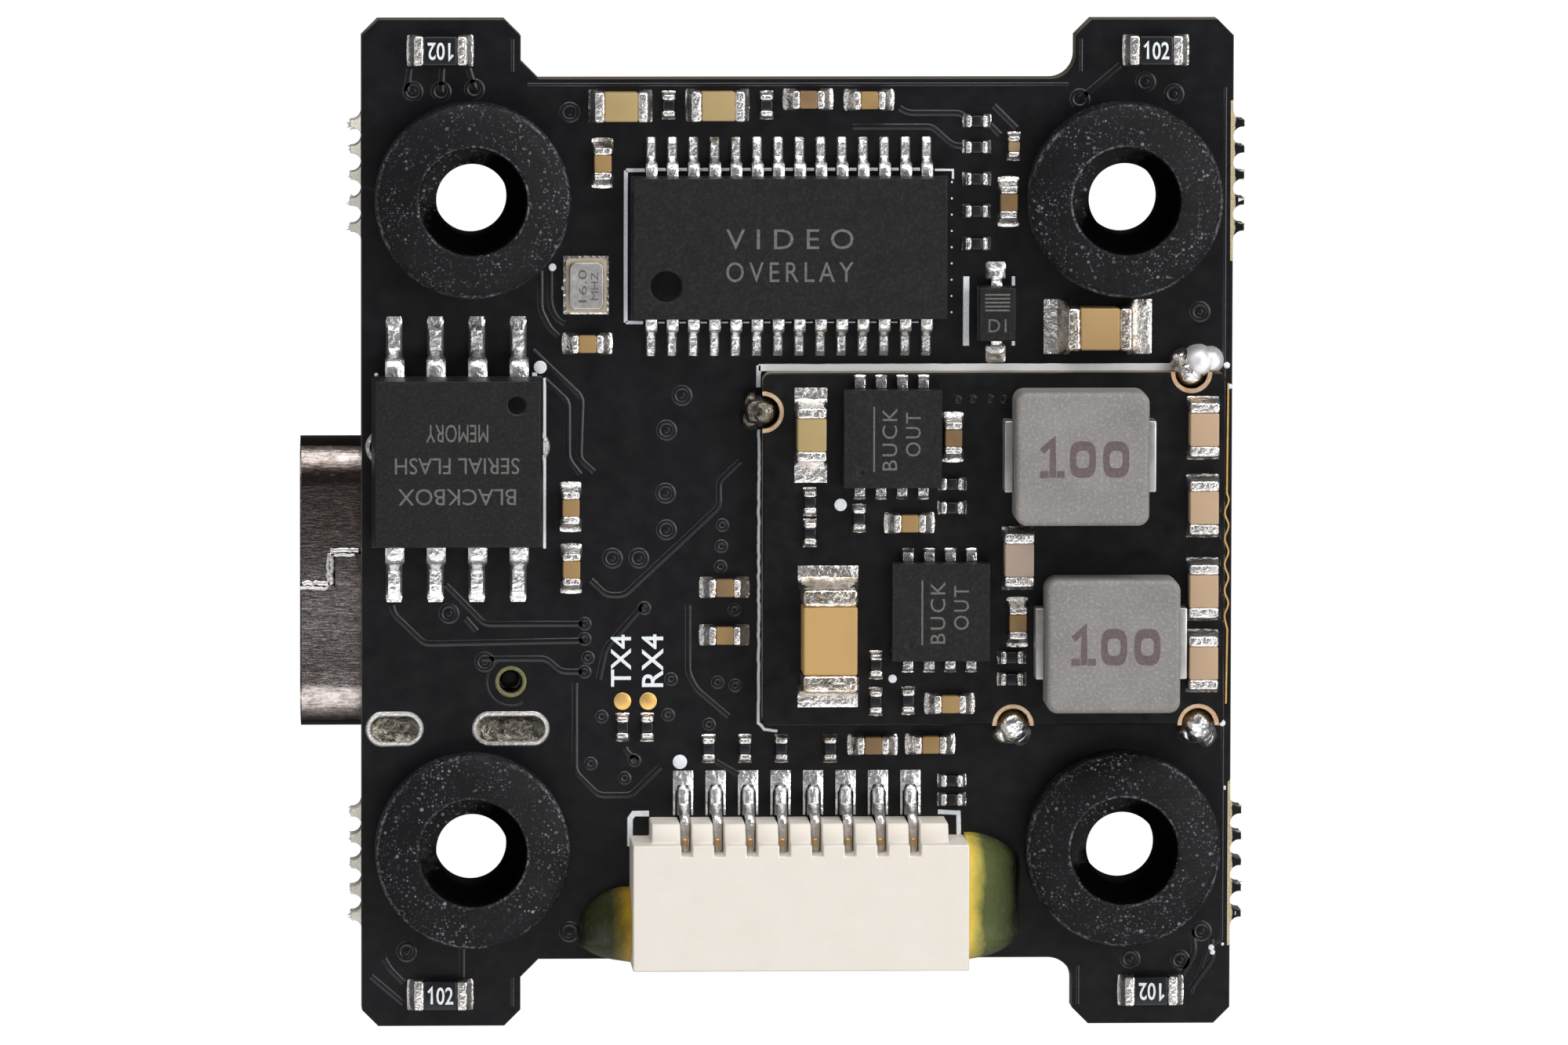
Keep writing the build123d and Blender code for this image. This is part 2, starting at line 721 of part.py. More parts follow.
def module_joints():
    """Solder mounds that fill the half-holes and wet the pads outside them."""
    mound = Cone(CASTELLATION_RADIUS - 0.02, 0.3, JOINT_HEIGHT, align=(Align.CENTER, Align.CENTER, Align.MIN))
    keep("bec_solder_joints", [Pos(x, y, 0) * mound for x, y in CASTELLATIONS])


def converters():
    top = CONVERTER_HEIGHT
    half = CONVERTER_SIZE / 2
    body = centred_block(0, 0, CONVERTER_SIZE, CONVERTER_SIZE, 0.03, top)
    body -= Pos(-half + 0.5, -half + 0.5, top) * Cylinder(0.12, 0.06)
    width, reach, height = CONVERTER_LEAD
    terminals = []
    for side in (-1, 1):
        for x in spread(CONVERTER_LEADS_PER_SIDE, CONVERTER_PITCH):
            y = side * (half + reach / 2)
            terminals.append(centred_block(x, y, width, reach, 0.0, height))
    for x, y in CONVERTER_PLACES:
        keep("bec_converter_bodies", on_top([body], x, y, MODULE_THICKNESS))
        keep("bec_converter_terminals", on_top(terminals, x, y, MODULE_THICKNESS))


def inductors():
    """Pressed cores with a flat terminal folded up on each side."""
    reach, width, height = INDUCTOR_TERMINAL
    core = rounded_block(INDUCTOR_SIZE, INDUCTOR_SIZE, 0.0, INDUCTOR_HEIGHT, INDUCTOR_CORNER)
    half = INDUCTOR_SIZE / 2
    terminals = [centred_block(side * (half + reach / 2), 0, reach, width, 0.0, height) for side in (-1, 1)]
    for x, y in INDUCTOR_PLACES:
        keep("bec_inductor_cores", on_top([core], x, y, MODULE_THICKNESS))
        keep("bec_inductor_terminals", on_top(terminals, x, y, MODULE_THICKNESS))


# ---------------------------------------------------------------- chip components


def chip_component(size, height):
    """Body and two end caps of a chip component, lying along X on Z = 0."""
    length, width, _, cap = CHIP_SIZES[size]
    body = centred_block(0, 0, length - 2 * cap, width, CAP_WRAP, height)
    end_x = (length - cap) / 2
    wide = width + 2 * CAP_WRAP
    ends = [centred_block(side * end_x, 0, cap, wide, 0.0, height + CAP_WRAP) for side in (-1, 1)]
    return body, ends


def set_chips(kind, places, heights, put, base=None):
    """Sets every chip component of one kind on one face."""
    for size, spots in places.items():
        body, ends = chip_component(size, heights[size])
        for x, y, turned in spots:
            turn = 90 if turned else 0
            level = {} if base is None else {"base": base}
            keep(f"{kind}_bodies_{size}", put([body], x, y, turn=turn, **level))
            keep(f"{kind}_ends_{size}", put(ends, x, y, turn=turn, **level))


def chip_components():
    capacitor_heights = {size: values[2] for size, values in CHIP_SIZES.items()}
    set_chips("capacitor", TOP_CAPACITORS, capacitor_heights, on_top)
    set_chips("capacitor", MODULE_CAPACITORS, capacitor_heights, on_top, MODULE_THICKNESS)
    set_chips("capacitor", UNDERSIDE_CAPACITORS, capacitor_heights, underneath)
    set_chips("resistor", TOP_RESISTORS, RESISTOR_HEIGHTS, on_top)
    set_chips("resistor", MODULE_RESISTORS, RESISTOR_HEIGHTS, on_top, MODULE_THICKNESS)
    set_chips("resistor", UNDERSIDE_RESISTORS, RESISTOR_HEIGHTS, underneath)


# ---------------------------------------------------------------- underside sensors and lamps


def sensors():
    width, length, height = GYRO
    gyro = centred_block(0, 0, width, length, 0.0, height)
    gyro -= Pos(-width / 2 + 0.4, length / 2 - 0.4, height) * Cylinder(0.15, 0.08)
    keep("gyro_body", underneath([gyro], *GYRO_PLACE))

    width, length, height = BAROMETER_BASE
    base = centred_block(0, 0, width, length, 0.0, height)
    lid_width, lid_length, lid_height = BAROMETER_LID
    lid = rounded_block(lid_width, lid_length, height, height + lid_height, 0.25)
    port = Pos(0.6, 0.4, height + lid_height) * Cylinder(BAROMETER_PORT_RADIUS, 0.4)
    keep("barometer_base", underneath([base], *BAROMETER_PLACE))
    keep("barometer_lid", underneath([lid - port], *BAROMETER_PLACE))


def lamps():
    width, length = LED_SIZE
    base = centred_block(0, 0, width, length, 0.0, LED_BASE_HEIGHT)
    lens_width, lens_length, lens_height = LED_LENS
    lens = centred_block(0, 0, lens_width, lens_length, LED_BASE_HEIGHT, LED_BASE_HEIGHT + lens_height)
    for x, y in LED_PLACES:
        keep("status_led_bases", underneath([base], x, y))
        keep("status_led_lenses", underneath([lens], x, y))


# ---------------------------------------------------------------- boot switch


def switch_base():
    """Moulded tub with a round well for the dome and the plunger's flange."""
    width, length = SWITCH_BODY
    tub = centred_block(0, 0, width, length, 0.0, SWITCH_BASE_HEIGHT)
    well_depth = SWITCH_BASE_HEIGHT - SWITCH_WELL_FLOOR
    tub -= Pos(0, 0, SWITCH_WELL_FLOOR + well_depth / 2) * Cylinder(SWITCH_WELL_RADIUS, well_depth)
    keep("boot_switch_base", underneath([tub], *SWITCH_PLACE))


def switch_cover():
    width, length = SWITCH_BODY
    top = SWITCH_BASE_HEIGHT + SWITCH_COVER_THICKNESS
    cover = centred_block(0, 0, width, length, SWITCH_BASE_HEIGHT, top)
    cover -= Pos(0, 0, top) * Cylinder(SWITCH_COVER_HOLE_RADIUS, 1.0)
    for side in (-1, 1):
        y = side * (length / 2 + SWITCH_COVER_THICKNESS / 2)
        cover += centred_block(0, y, width * 0.6, SWITCH_COVER_THICKNESS, 0.5, top)
    keep("boot_switch_cover", underneath([cover], *SWITCH_PLACE))


def switch_plunger():
    """Button with a flange that the cover retains and a nib that bears on the dome."""
    flange_top = SWITCH_BASE_HEIGHT - SWITCH_GAP
    flange_low = flange_top - SWITCH_FLANGE_THICKNESS
    stem_height = SWITCH_PLUNGER_TOP - flange_low
    stem = Pos(0, 0, flange_low + stem_height / 2) * Cylinder(SWITCH_PLUNGER_RADIUS, stem_height)
    stem = chamfer(stem.edges().sort_by(Axis.Z)[-1], 0.1)
    flange = Pos(0, 0, (flange_low + flange_top) / 2) * Cylinder(SWITCH_FLANGE_RADIUS, SWITCH_FLANGE_THICKNESS)
    nib_low = SWITCH_WELL_FLOOR + SWITCH_DOME_HEIGHT + 2 * SWITCH_GAP
    nib = Pos(0, 0, (nib_low + flange_top) / 2) * Cylinder(SWITCH_NIB_RADIUS, flange_top - nib_low)
    keep("boot_switch_plunger", underneath([stem + flange + nib], *SWITCH_PLACE))


def switch_dome():
    """Snap dome: a spherical cap of thin sheet on the floor of the well."""
    rim = SWITCH_DOME_RADIUS
    rise = SWITCH_DOME_HEIGHT
    radius = (rim**2 + rise**2) / (2 * rise)
    floor = SWITCH_WELL_FLOOR + SWITCH_GAP / 2
    centre = Pos(0, 0, floor + rise - radius)
    cap = centre * (Sphere(radius) - Sphere(radius - SWITCH_DOME_SHEET))
    cap &= centred_block(0, 0, 3, 3, floor, floor + 1)
    keep("boot_switch_dome", underneath(cap.solids(), *SWITCH_PLACE))


def switch_terminals():
    reach, width, height = SWITCH_TERMINAL
    half = SWITCH_BODY[0] / 2
    terminals = [centred_block(side * (half + reach / 2), 0, reach, width, 0.0, height) for side in (-1, 1)]
    keep("boot_switch_terminals", underneath(terminals, *SWITCH_PLACE))


# ---------------------------------------------------------------- pads


def solder_pads():
    """Tinned wire pads in rows on the underside and round pads on top."""
    width, length = WIRE_PAD
    pad = rounded_block(width, length, 0.0, PAD_THICKNESS, 0.2)
    for centre_x, centre_y, count, turned in WIRE_PAD_ROWS:
        for offset in spread(count, WIRE_PAD_PITCH):
            x, y = (centre_x, centre_y + offset) if turned else (centre_x + offset, centre_y)
            keep("solder_pads", underneath([pad], x, y, 90 if turned else 0))
    disc = Pos(0, 0, PAD_THICKNESS / 2) * Cylinder(TEST_PAD_RADIUS, PAD_THICKNESS)
    for x, y in TEST_PADS:
        keep("solder_pads", on_top([disc], x, y))


# ---------------------------------------------------------------- build and write


def build():
    main_board()
    vibration_grommets()
    usb_shell()
    usb_inner_parts()
    usb_slot_solder()
    socket_housing()
    socket_contacts()
    socket_tabs_and_adhesive()
    osd_chip()
    flash_chip()
    processor()
    regulator()
    diode()
    crystals()
    module_board()
    module_joints()
    converters()
    inductors()
    chip_components()
    sensors()
    lamps()
    switch_base()
    switch_cover()
    switch_plunger()
    switch_dome()
    switch_terminals()
    solder_pads()


build()
os.makedirs("parts", exist_ok=True)
for node, solids in NODES.items():
    export_step(Compound(children=solids), f"parts/{node}.step")
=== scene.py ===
"""Looks of the flight controller board: soldered leads, chip components, mask relief, printing, light and camera."""
import math

import bmesh
import bpy
from mathutils import Matrix, Vector, noise

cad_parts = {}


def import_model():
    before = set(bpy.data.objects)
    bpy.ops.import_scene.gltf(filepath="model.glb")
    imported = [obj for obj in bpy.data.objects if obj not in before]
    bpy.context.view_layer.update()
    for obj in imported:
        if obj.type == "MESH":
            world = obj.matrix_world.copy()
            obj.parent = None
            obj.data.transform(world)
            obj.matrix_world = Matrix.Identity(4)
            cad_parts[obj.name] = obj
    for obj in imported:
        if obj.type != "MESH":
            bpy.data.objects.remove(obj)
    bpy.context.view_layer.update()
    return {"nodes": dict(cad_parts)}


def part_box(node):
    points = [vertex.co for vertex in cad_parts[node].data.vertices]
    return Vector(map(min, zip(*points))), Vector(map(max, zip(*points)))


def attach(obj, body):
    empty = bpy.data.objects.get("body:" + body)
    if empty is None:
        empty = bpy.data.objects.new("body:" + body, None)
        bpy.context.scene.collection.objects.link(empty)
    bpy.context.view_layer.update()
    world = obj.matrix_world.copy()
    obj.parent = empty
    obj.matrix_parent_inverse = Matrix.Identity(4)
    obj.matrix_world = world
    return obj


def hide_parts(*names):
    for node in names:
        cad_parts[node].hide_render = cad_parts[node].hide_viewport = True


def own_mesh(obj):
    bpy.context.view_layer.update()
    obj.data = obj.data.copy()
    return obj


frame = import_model()

MM = 0.001
WELD = 1e-7

# Heights in millimetres: the component face is z = 0, the underside is -BOARD, the module's top is MODULE.
BOARD = 1.2
MODULE = 0.9
GROMMET_AT = 10.0
RELIEF = 0.03
INK = 0.045


# ---------------------------------------------------------------- mesh building


class Shape:
    """Points in millimetres and faces with a material number, gathered for one piece."""

    def __init__(self):
        self.points = []
        self.faces = []
        self.paints = []

    def add(self, points, faces, paint=0):
        first = len(self.points)
        self.points.extend(points)
        self.faces.extend([tuple(first + i for i in face) for face in faces])
        self.paints.extend([paint] * len(faces))


def make_piece(name, shape, materials, stands_for=(), body="board", sharp=35.0, weld=True):
    """Turns a shape into a mesh object in metres that rides on a body."""
    mesh = bpy.data.meshes.new(name)
    mesh.from_pydata([(x * MM, y * MM, z * MM) for x, y, z in shape.points], [], shape.faces)
    mesh.polygons.foreach_set("material_index", shape.paints)
    for material in materials:
        mesh.materials.append(material)
    edit = bmesh.new()
    edit.from_mesh(mesh)
    if weld:
        bmesh.ops.remove_doubles(edit, verts=edit.verts, dist=WELD)
    bmesh.ops.recalc_face_normals(edit, faces=edit.faces)
    edit.to_mesh(mesh)
    edit.free()
    return finish_piece(name, mesh, stands_for, body, sharp)


def finish_piece(name, mesh, stands_for, body, sharp):
    """Smooth shading with sharp creases, and the piece's place in the frame."""
    mesh.polygons.foreach_set("use_smooth", [True] * len(mesh.polygons))
    mesh.set_sharp_from_angle(angle=math.radians(sharp))
    piece = bpy.data.objects.new(name, mesh)
    bpy.context.scene.collection.objects.link(piece)
    normals = piece.modifiers.new("normals", "WEIGHTED_NORMAL")
    normals.keep_sharp = True
    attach(piece, body)
    if stands_for:
        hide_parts(*stands_for)
    return piece


def soften(node, width, material, segments=2, angle=30.0, body="board"):
    """Draws a CAD node as a finer copy of itself with rounded edges."""
    edit = bmesh.new()
    edit.from_mesh(frame["nodes"][node].data)
    bmesh.ops.remove_doubles(edit, verts=edit.verts, dist=WELD)
    bmesh.ops.dissolve_limit(edit, angle_limit=math.radians(1.0), verts=edit.verts, edges=edit.edges)
    corners = [e for e in edit.edges if e.is_manifold and e.calc_face_angle() > math.radians(angle)]
    bmesh.ops.bevel(
        edit, geom=corners, offset=width * MM, offset_type="OFFSET", segments=segments,
        profile=0.5, affect="EDGES", clamp_overlap=True,
    )
    mesh = bpy.data.meshes.new(node + "_finish")
    edit.to_mesh(mesh)
    edit.free()
    mesh.materials.append(material)
    return finish_piece(node + "_finish", mesh, [node], body, 40.0)


def islands(node):
    """The boxes of the separate solids in a CAD node, in millimetres, in a fixed order."""
    edit = bmesh.new()
    edit.from_mesh(frame["nodes"][node].data)
    bmesh.ops.remove_doubles(edit, verts=edit.verts, dist=WELD)
    edit.verts.ensure_lookup_table()
    seen = set()
    boxes = []
    for start in edit.verts:
        if start.index in seen:
            continue
        stack = [start]
        seen.add(start.index)
        group = []
        while stack:
            vertex = stack.pop()
            group.append(vertex.co / MM)
            for edge in vertex.link_edges:
                other = edge.other_vert(vertex)
                if other.index not in seen:
                    seen.add(other.index)
                    stack.append(other)
        low = Vector([min(p[i] for p in group) for i in range(3)])
        high = Vector([max(p[i] for p in group) for i in range(3)])
        boxes.append((low, high))
    edit.free()
    return sorted(boxes, key=lambda box: tuple(round(v, 3) for v in (*box[0], *box[1])))


def wobble(point, size, amount, seed=0.0):
    """A smooth pseudo-random value in [-amount, amount] that depends only on the point."""
    return noise.noise(Vector(point) / size + Vector((seed, 2.3 * seed, -1.7 * seed))) * amount


def arc_stops(steps):
    """Side and lean of the points across a rounded box: lean is 1 at the corner and 0 on the flat."""
    low = [(-1, 1 - i / steps) for i in range(steps + 1)]
    return low + [(-side, lean) for side, lean in reversed(low)]


def rounded_box(shape, low, high, radius, paint=0, steps=2, rough=0.0, seed=0.0):
    """A box with rounded edges and corners. rough displaces its points smoothly, in millimetres."""
    centre = (low + high) / 2
    half = (high - low) / 2
    radius = min(radius, *half)
    stops = arc_stops(steps)
    count = len(stops)
    quarter = math.pi / 4
    for axis in range(3):
        a, b = (axis + 1) % 3, (axis + 2) % 3
        for side in (-1, 1):
            points = []
            for side_a, lean_a in stops:
                for side_b, lean_b in stops:
                    lean = [0.0, 0.0, 0.0]
                    lean[axis] = side
                    lean[a] = side_a * math.tan(lean_a * quarter)
                    lean[b] = side_b * math.tan(lean_b * quarter)
                    lean = Vector(lean).normalized()
                    point = Vector(centre)
                    point[axis] += side * (half[axis] - radius)
                    point[a] += side_a * (half[a] - radius)
                    point[b] += side_b * (half[b] - radius)
                    point += lean * radius
                    if rough:
                        point += lean * wobble(point, 0.25, rough, seed)
                    points.append(tuple(point))
            faces = []
            for i in range(count - 1):
                for j in range(count - 1):
                    k = i * count + j
                    quad = (k, k + count, k + count + 1, k + 1)
                    faces.append(quad if side > 0 else quad[::-1])
            shape.add(points, faces, paint)


def grid_solid(shape, rows, base, paint=0):
    """A closed solid from a grid of top points: its rim drops straight to the height base."""
    n, m = len(rows), len(rows[0])
    points = [tuple(p) for row in rows for p in row]
    faces = [
        (i * m + j, (i + 1) * m + j, (i + 1) * m + j + 1, i * m + j + 1)
        for i in range(n - 1)
        for j in range(m - 1)
    ]
    rim = [j for j in range(m)]
    rim += [i * m + m - 1 for i in range(1, n)]
    rim += [(n - 1) * m + j for j in range(m - 2, -1, -1)]
    rim += [i * m for i in range(n - 2, 0, -1)]
    first = len(points)
    points += [(points[i][0], points[i][1], base) for i in rim]
    size = len(rim)
    for k in range(size):
        after = (k + 1) % size
        faces.append((rim[k], rim[after], first + after, first + k))
    faces.append(tuple(first + k for k in range(size)))
    shape.add(points, faces, paint)


def sweep(shape, path, widths, thickness, across, paint=0):
    """A strip with a pillowed section along a path of points. across is the strip's width direction."""
    across = Vector(across).normalized()
    rings = []
    for i, point in enumerate(path):
        before = path[max(i - 1, 0)]
        after = path[min(i + 1, len(path) - 1)]
        along = (Vector(after) - Vector(before)).normalized()
        up = across.cross(along).normalized()
        half_w, half_t = widths[i] / 2, thickness / 2
        section = []
        for k in range(14):
            c, s = math.cos((k + 0.5) * math.pi / 7), math.sin((k + 0.5) * math.pi / 7)
            u = math.copysign(abs(c) ** 0.7, c) * half_w
            v = math.copysign(abs(s) ** 0.9, s) * half_t
            section.append(Vector(point) + across * u + up * v)
        rings.append(section)
    loft(shape, rings, paint)


def loft(shape, rings, paint=0, closed_ends=True):
    """Skins a run of rings with equal numbers of points."""
    size = len(rings[0])
    points = [tuple(p) for ring in rings for p in ring]
    faces = []
    for i in range(len(rings) - 1):
        for j in range(size):
            k = (j + 1) % size
            faces.append((i * size + j, i * size + k, (i + 1) * size + k, (i + 1) * size + j))
    if closed_ends:
        faces.append(tuple(range(size)))
        faces.append(tuple(len(points) - size + j for j in reversed(range(size))))
    shape.add(points, faces, paint)


def lathe(shape, centre, profile, segments, paint=0, closed=True, bumps=0.0, seed=0.0):
    """Turns a profile of (radius, z) about a vertical axis. A closed profile gives a ring, an open one ends on the axis."""
    cx, cy = centre
    rings = []
    for radius, z in profile:
        ring = []
        for k in range(segments):
            turn = 2 * math.pi * k / segments
            r = radius
            if bumps:
                r += wobble((radius * math.cos(turn), radius * math.sin(turn), z), 0.3, bumps, seed)
            ring.append((cx + r * math.cos(turn), cy + r * math.sin(turn), z))
        rings.append(ring)
    if closed:
        rings.append(rings[0])
    loft(shape, rings, paint, closed_ends=not closed)


def smooth_path(points, radius, steps=4):
    """Rounds the inner corners of a path."""
    points = [Vector(p) for p in points]
    out = [points[0]]
    for before, corner, after in zip(points, points[1:], points[2:]):
        near = corner + (before - corner).normalized() * min(radius, (before - corner).length * 0.48)
        far = corner + (after - corner).normalized() * min(radius, (after - corner).length * 0.48)
        for k in range(steps + 1):
            t = k / steps
            out.append(near * (1 - t) ** 2 + corner * 2 * t * (1 - t) + far * t * t)
    out.append(points[-1])
    return out


def ribbon(shape, path, width, low, high, paint=0, ease=0.03):
    """A low ridge on a flat face along a path of (x, y): sloped sides and a flat top."""
    path = [Vector((p[0], p[1])) for p in path]
    rings = []
    for i, point in enumerate(path):
        before = path[max(i - 1, 0)]
        after = path[min(i + 1, len(path) - 1)]
        one = (point - before).normalized() if i else (after - point).normalized()
        two = (after - point).normalized() if i < len(path) - 1 else one
        along = (one + two).normalized()
        normal = Vector((-along.y, along.x))
        stretch = 1 / max(0.5, abs(along.dot(one)))
        half = width / 2 * stretch
        offsets = ((-half - ease, low), (-half, high), (half, high), (half + ease, low))
        rings.append([(point.x + normal.x * o, point.y + normal.y * o, z) for o, z in offsets])
    loft(shape, rings, paint)


def disc(shape, x, y, radius, low, high, paint=0, segments=20, dome=0.0):
    """A flat or slightly domed dot with eased edges."""
    profile = [(radius, low), (radius, low * 0.3 + high * 0.7), (radius * 0.86, high), (radius * 0.4, high + dome)]
    lathe(shape, (x, y), profile, segments, paint, closed=False)


def ring(shape, x, y, inner, outer, low, high, paint=0, segments=24, ease=0.035):
    """A low ring with sloped sides."""
    profile = [(outer + ease, low), (outer, high), (inner, high), (max(inner - ease, 0.01), low)]
    lathe(shape, (x, y), profile, segments, paint)


def lettering(shape, text, centre, size, turn=0.0, low=INK - 0.02, high=INK, paint=0, bold=0.0, flip=False, gap=1.0):
    """Text as a thin solid, fitted to size (width, height) and centred. turn is in degrees."""
    curve = bpy.data.curves.new("lettering", "FONT")
    curve.body = text
    curve.align_x = "CENTER"
    curve.align_y = "CENTER"
    curve.resolution_u = 3
    curve.extrude = 0.5
    curve.space_character = gap
    curve.offset = bold
    holder = bpy.data.objects.new("lettering", curve)
    bpy.context.scene.collection.objects.link(holder)
    bpy.context.view_layer.update()
    mesh = bpy.data.meshes.new_from_object(holder.evaluated_get(bpy.context.evaluated_depsgraph_get()))
    bpy.data.objects.remove(holder)
    bpy.data.curves.remove(curve)
    xs = [v.co.x for v in mesh.vertices]
    ys = [v.co.y for v in mesh.vertices]
    middle = ((min(xs) + max(xs)) / 2, (min(ys) + max(ys)) / 2)
    scale = (size[0] / (max(xs) - min(xs)), size[1] / (max(ys) - min(ys)))
    angle = math.radians(turn)
    points = []
    for vertex in mesh.vertices:
        x = (vertex.co.x - middle[0]) * scale[0] * (-1 if flip else 1)
        y = (vertex.co.y - middle[1]) * scale[1]
        z = high if vertex.co.z > 0 else low
        points.append((
            centre[0] + x * math.cos(angle) - y * math.sin(angle),
            centre[1] + x * math.sin(angle) + y * math.cos(angle),
            z,
        ))
    shape.add(points, [tuple(face.vertices) for face in mesh.polygons], paint)
    bpy.data.meshes.remove(mesh)


# ---------------------------------------------------------------- materials


class Nodes:
    """A short way to build a node material."""

    def __init__(self, name):
        self.material = bpy.data.materials.new(name)
        self.material.use_nodes = True
        self.tree = self.material.node_tree
        self.shader = self.tree.nodes["Principled BSDF"]
        self.place = self.node("ShaderNodeTexCoord").outputs["Object"]

    def node(self, kind, **settings):
        made = self.tree.nodes.new(kind)
        for key, value in settings.items():
            setattr(made, key, value)
        return made

    def link(self, source, target):
        self.tree.links.new(source, target)

    def set(self, **values):
        for key, value in values.items():
            socket = self.shader.inputs[key.replace("_", " ")]
            if isinstance(value, bpy.types.NodeSocket):
                self.link(value, socket)
            else:
                socket.default_value = value

    def scaled(self, scale):
        mapping = self.node("ShaderNodeMapping")
        self.link(self.place, mapping.inputs["Vector"])
        mapping.inputs["Scale"].default_value = scale
        return mapping.outputs["Vector"]

    def noise(self, size_mm, detail=4.0, rough=0.55, stretch=(1, 1, 1), distortion=0.0):
        """Noise whose features are about size_mm across, as a value from 0 to 1."""
        texture = self.node("ShaderNodeTexNoise")
        self.link(self.scaled(tuple(s / (size_mm * MM) for s in stretch)), texture.inputs["Vector"])
        texture.inputs["Scale"].default_value = 1.0
        texture.inputs["Detail"].default_value = detail
        texture.inputs["Roughness"].default_value = rough
        texture.inputs["Distortion"].default_value = distortion
        return texture.outputs["Fac"]

    def cells(self, size_mm, feature="F1", randomness=1.0):
        texture = self.node("ShaderNodeTexVoronoi", feature=feature)
        self.link(self.scaled((1 / (size_mm * MM),) * 3), texture.inputs["Vector"])
        texture.inputs["Scale"].default_value = 1.0
        texture.inputs["Randomness"].default_value = randomness
        return texture

    def ramp(self, value, stops):
        """A colour ramp. stops are (position, colour or grey)."""
        ramp = self.node("ShaderNodeValToRGB")
        self.link(value, ramp.inputs["Fac"])
        elements = ramp.color_ramp.elements
        while len(elements) < len(stops):
            elements.new(0.5)
        for element, (position, colour) in zip(elements, stops):
            element.position = position
            element.color = (*colour, 1) if isinstance(colour, tuple) else (colour, colour, colour, 1)
        return ramp.outputs["Color"]

    def math(self, operation, a, b=0.0, clamp=False):
        made = self.node("ShaderNodeMath", operation=operation, use_clamp=clamp)
        for socket, value in zip(made.inputs, (a, b)):
            if isinstance(value, bpy.types.NodeSocket):
                self.link(value, socket)
            else:
                socket.default_value = value
        return made.outputs[0]

    def mix(self, factor, a, b, blend="MIX"):
        made = self.node("ShaderNodeMix", data_type="RGBA", blend_type=blend)
        for socket, value in ((made.inputs[0], factor), (made.inputs[6], a), (made.inputs[7], b)):
            if isinstance(value, bpy.types.NodeSocket):
                self.link(value, socket)
            elif isinstance(value, tuple):
                socket.default_value = (*value, 1)
            else:
                socket.default_value = value
        return made.outputs[2]

    def bump(self, height, depth_mm, strength=1.0):
        bump = self.node("ShaderNodeBump")
        bump.inputs["Strength"].default_value = strength
        bump.inputs["Distance"].default_value = depth_mm * MM
        self.link(height, bump.inputs["Height"])
        if self.shader.inputs["Normal"].is_linked:
            self.link(self.shader.inputs["Normal"].links[0].from_socket, bump.inputs["Normal"])
        self.link(bump.outputs["Normal"], self.shader.inputs["Normal"])

    def position(self):
        split = self.node("ShaderNodeSeparateXYZ")
        self.link(self.place, split.inputs[0])
        return split.outputs

    def normal(self):
        geometry = self.node("ShaderNodeNewGeometry")
        split = self.node("ShaderNodeSeparateXYZ")
        self.link(geometry.outputs["True Normal"], split.inputs[0])
        return split.outputs


def mask_material(name, base, edge, torn_edges=False):
    """Satin black solder mask on the flat faces and another tone on the slopes and cut edges: the laminate's own colour
    on cut edges, a painted highlight on the slopes of the relief.
    """
    n = Nodes(name)
    tone = n.ramp(n.noise(2.2, 3.0), [(0.3, tuple(v * 0.75 for v in base)), (0.75, tuple(v * 1.3 for v in base))])
    grain = n.noise(0.06, 3.0, 0.7)
    face = n.mix(n.ramp(grain, [(0.5, 0.0), (0.75, 0.5)]), tone, tuple(v * 2.6 for v in base))
    weave = n.noise(0.12, 4.0, 0.6, stretch=(1, 1, 6))
    side = n.ramp(weave, [(0.3, tuple(v * 0.4 for v in edge)), (0.55, edge), (0.8, tuple(min(1, v * 1.5) for v in edge))])
    flat = n.math("GREATER_THAN", n.math("ABSOLUTE", n.normal()["Z"]), 0.75)
    colour = n.mix(flat, side, face)
    if torn_edges:
        colour = torn_laminate(n, colour)
    n.set(Base_Color=colour)
    n.set(Roughness=n.ramp(n.noise(0.6, 4.0), [(0.25, 0.27), (0.8, 0.4)]))
    n.set(IOR=1.42)
    n.bump(n.noise(0.5, 4.0), 0.008, 0.5)
    n.bump(grain, 0.004, 0.35)
    return n.material


# The mask stops just short of the right edge, and the webs beyond both long edges are torn laminate.
MASK_END_X = 13.29
WEB_X = 13.37


def torn_laminate(n, colour):
    """Bare glass laminate on the broken webs and along the right edge."""
    x, y, _ = (n.position()[i] for i in range(3))
    fibres = n.noise(0.07, 4.0, 0.7, stretch=(1, 2.5, 3))
    pale = n.ramp(fibres, [(0.3, (0.42, 0.36, 0.27)), (0.5, (0.74, 0.71, 0.62)), (0.7, (0.88, 0.87, 0.82))])
    tan = n.ramp(fibres, [(0.3, (0.20, 0.13, 0.06)), (0.55, (0.62, 0.52, 0.33)), (0.75, (0.8, 0.76, 0.6))])
    ragged = n.math("ADD", n.math("ABSOLUTE", x), n.math("MULTIPLY", n.noise(0.3, 2.0), 0.12 * MM))
    along = n.math("ADD", n.math("ABSOLUTE", y), n.math("MULTIPLY", n.noise(0.4, 3.0), 0.8 * MM))
    near_web = n.math("MULTIPLY", n.math("GREATER_THAN", along, 8.5 * MM), n.math("LESS_THAN", along, 13.4 * MM))
    left = n.math("LESS_THAN", x, -(WEB_X + 0.03) * MM)
    line = n.math("MULTIPLY", n.math("GREATER_THAN", x, MASK_END_X * MM), n.math("LESS_THAN", ragged, (WEB_X + 0.12) * MM))
    colour = n.mix(left, colour, pale)
    return n.mix(n.math("MULTIPLY", line, near_web), colour, tan)


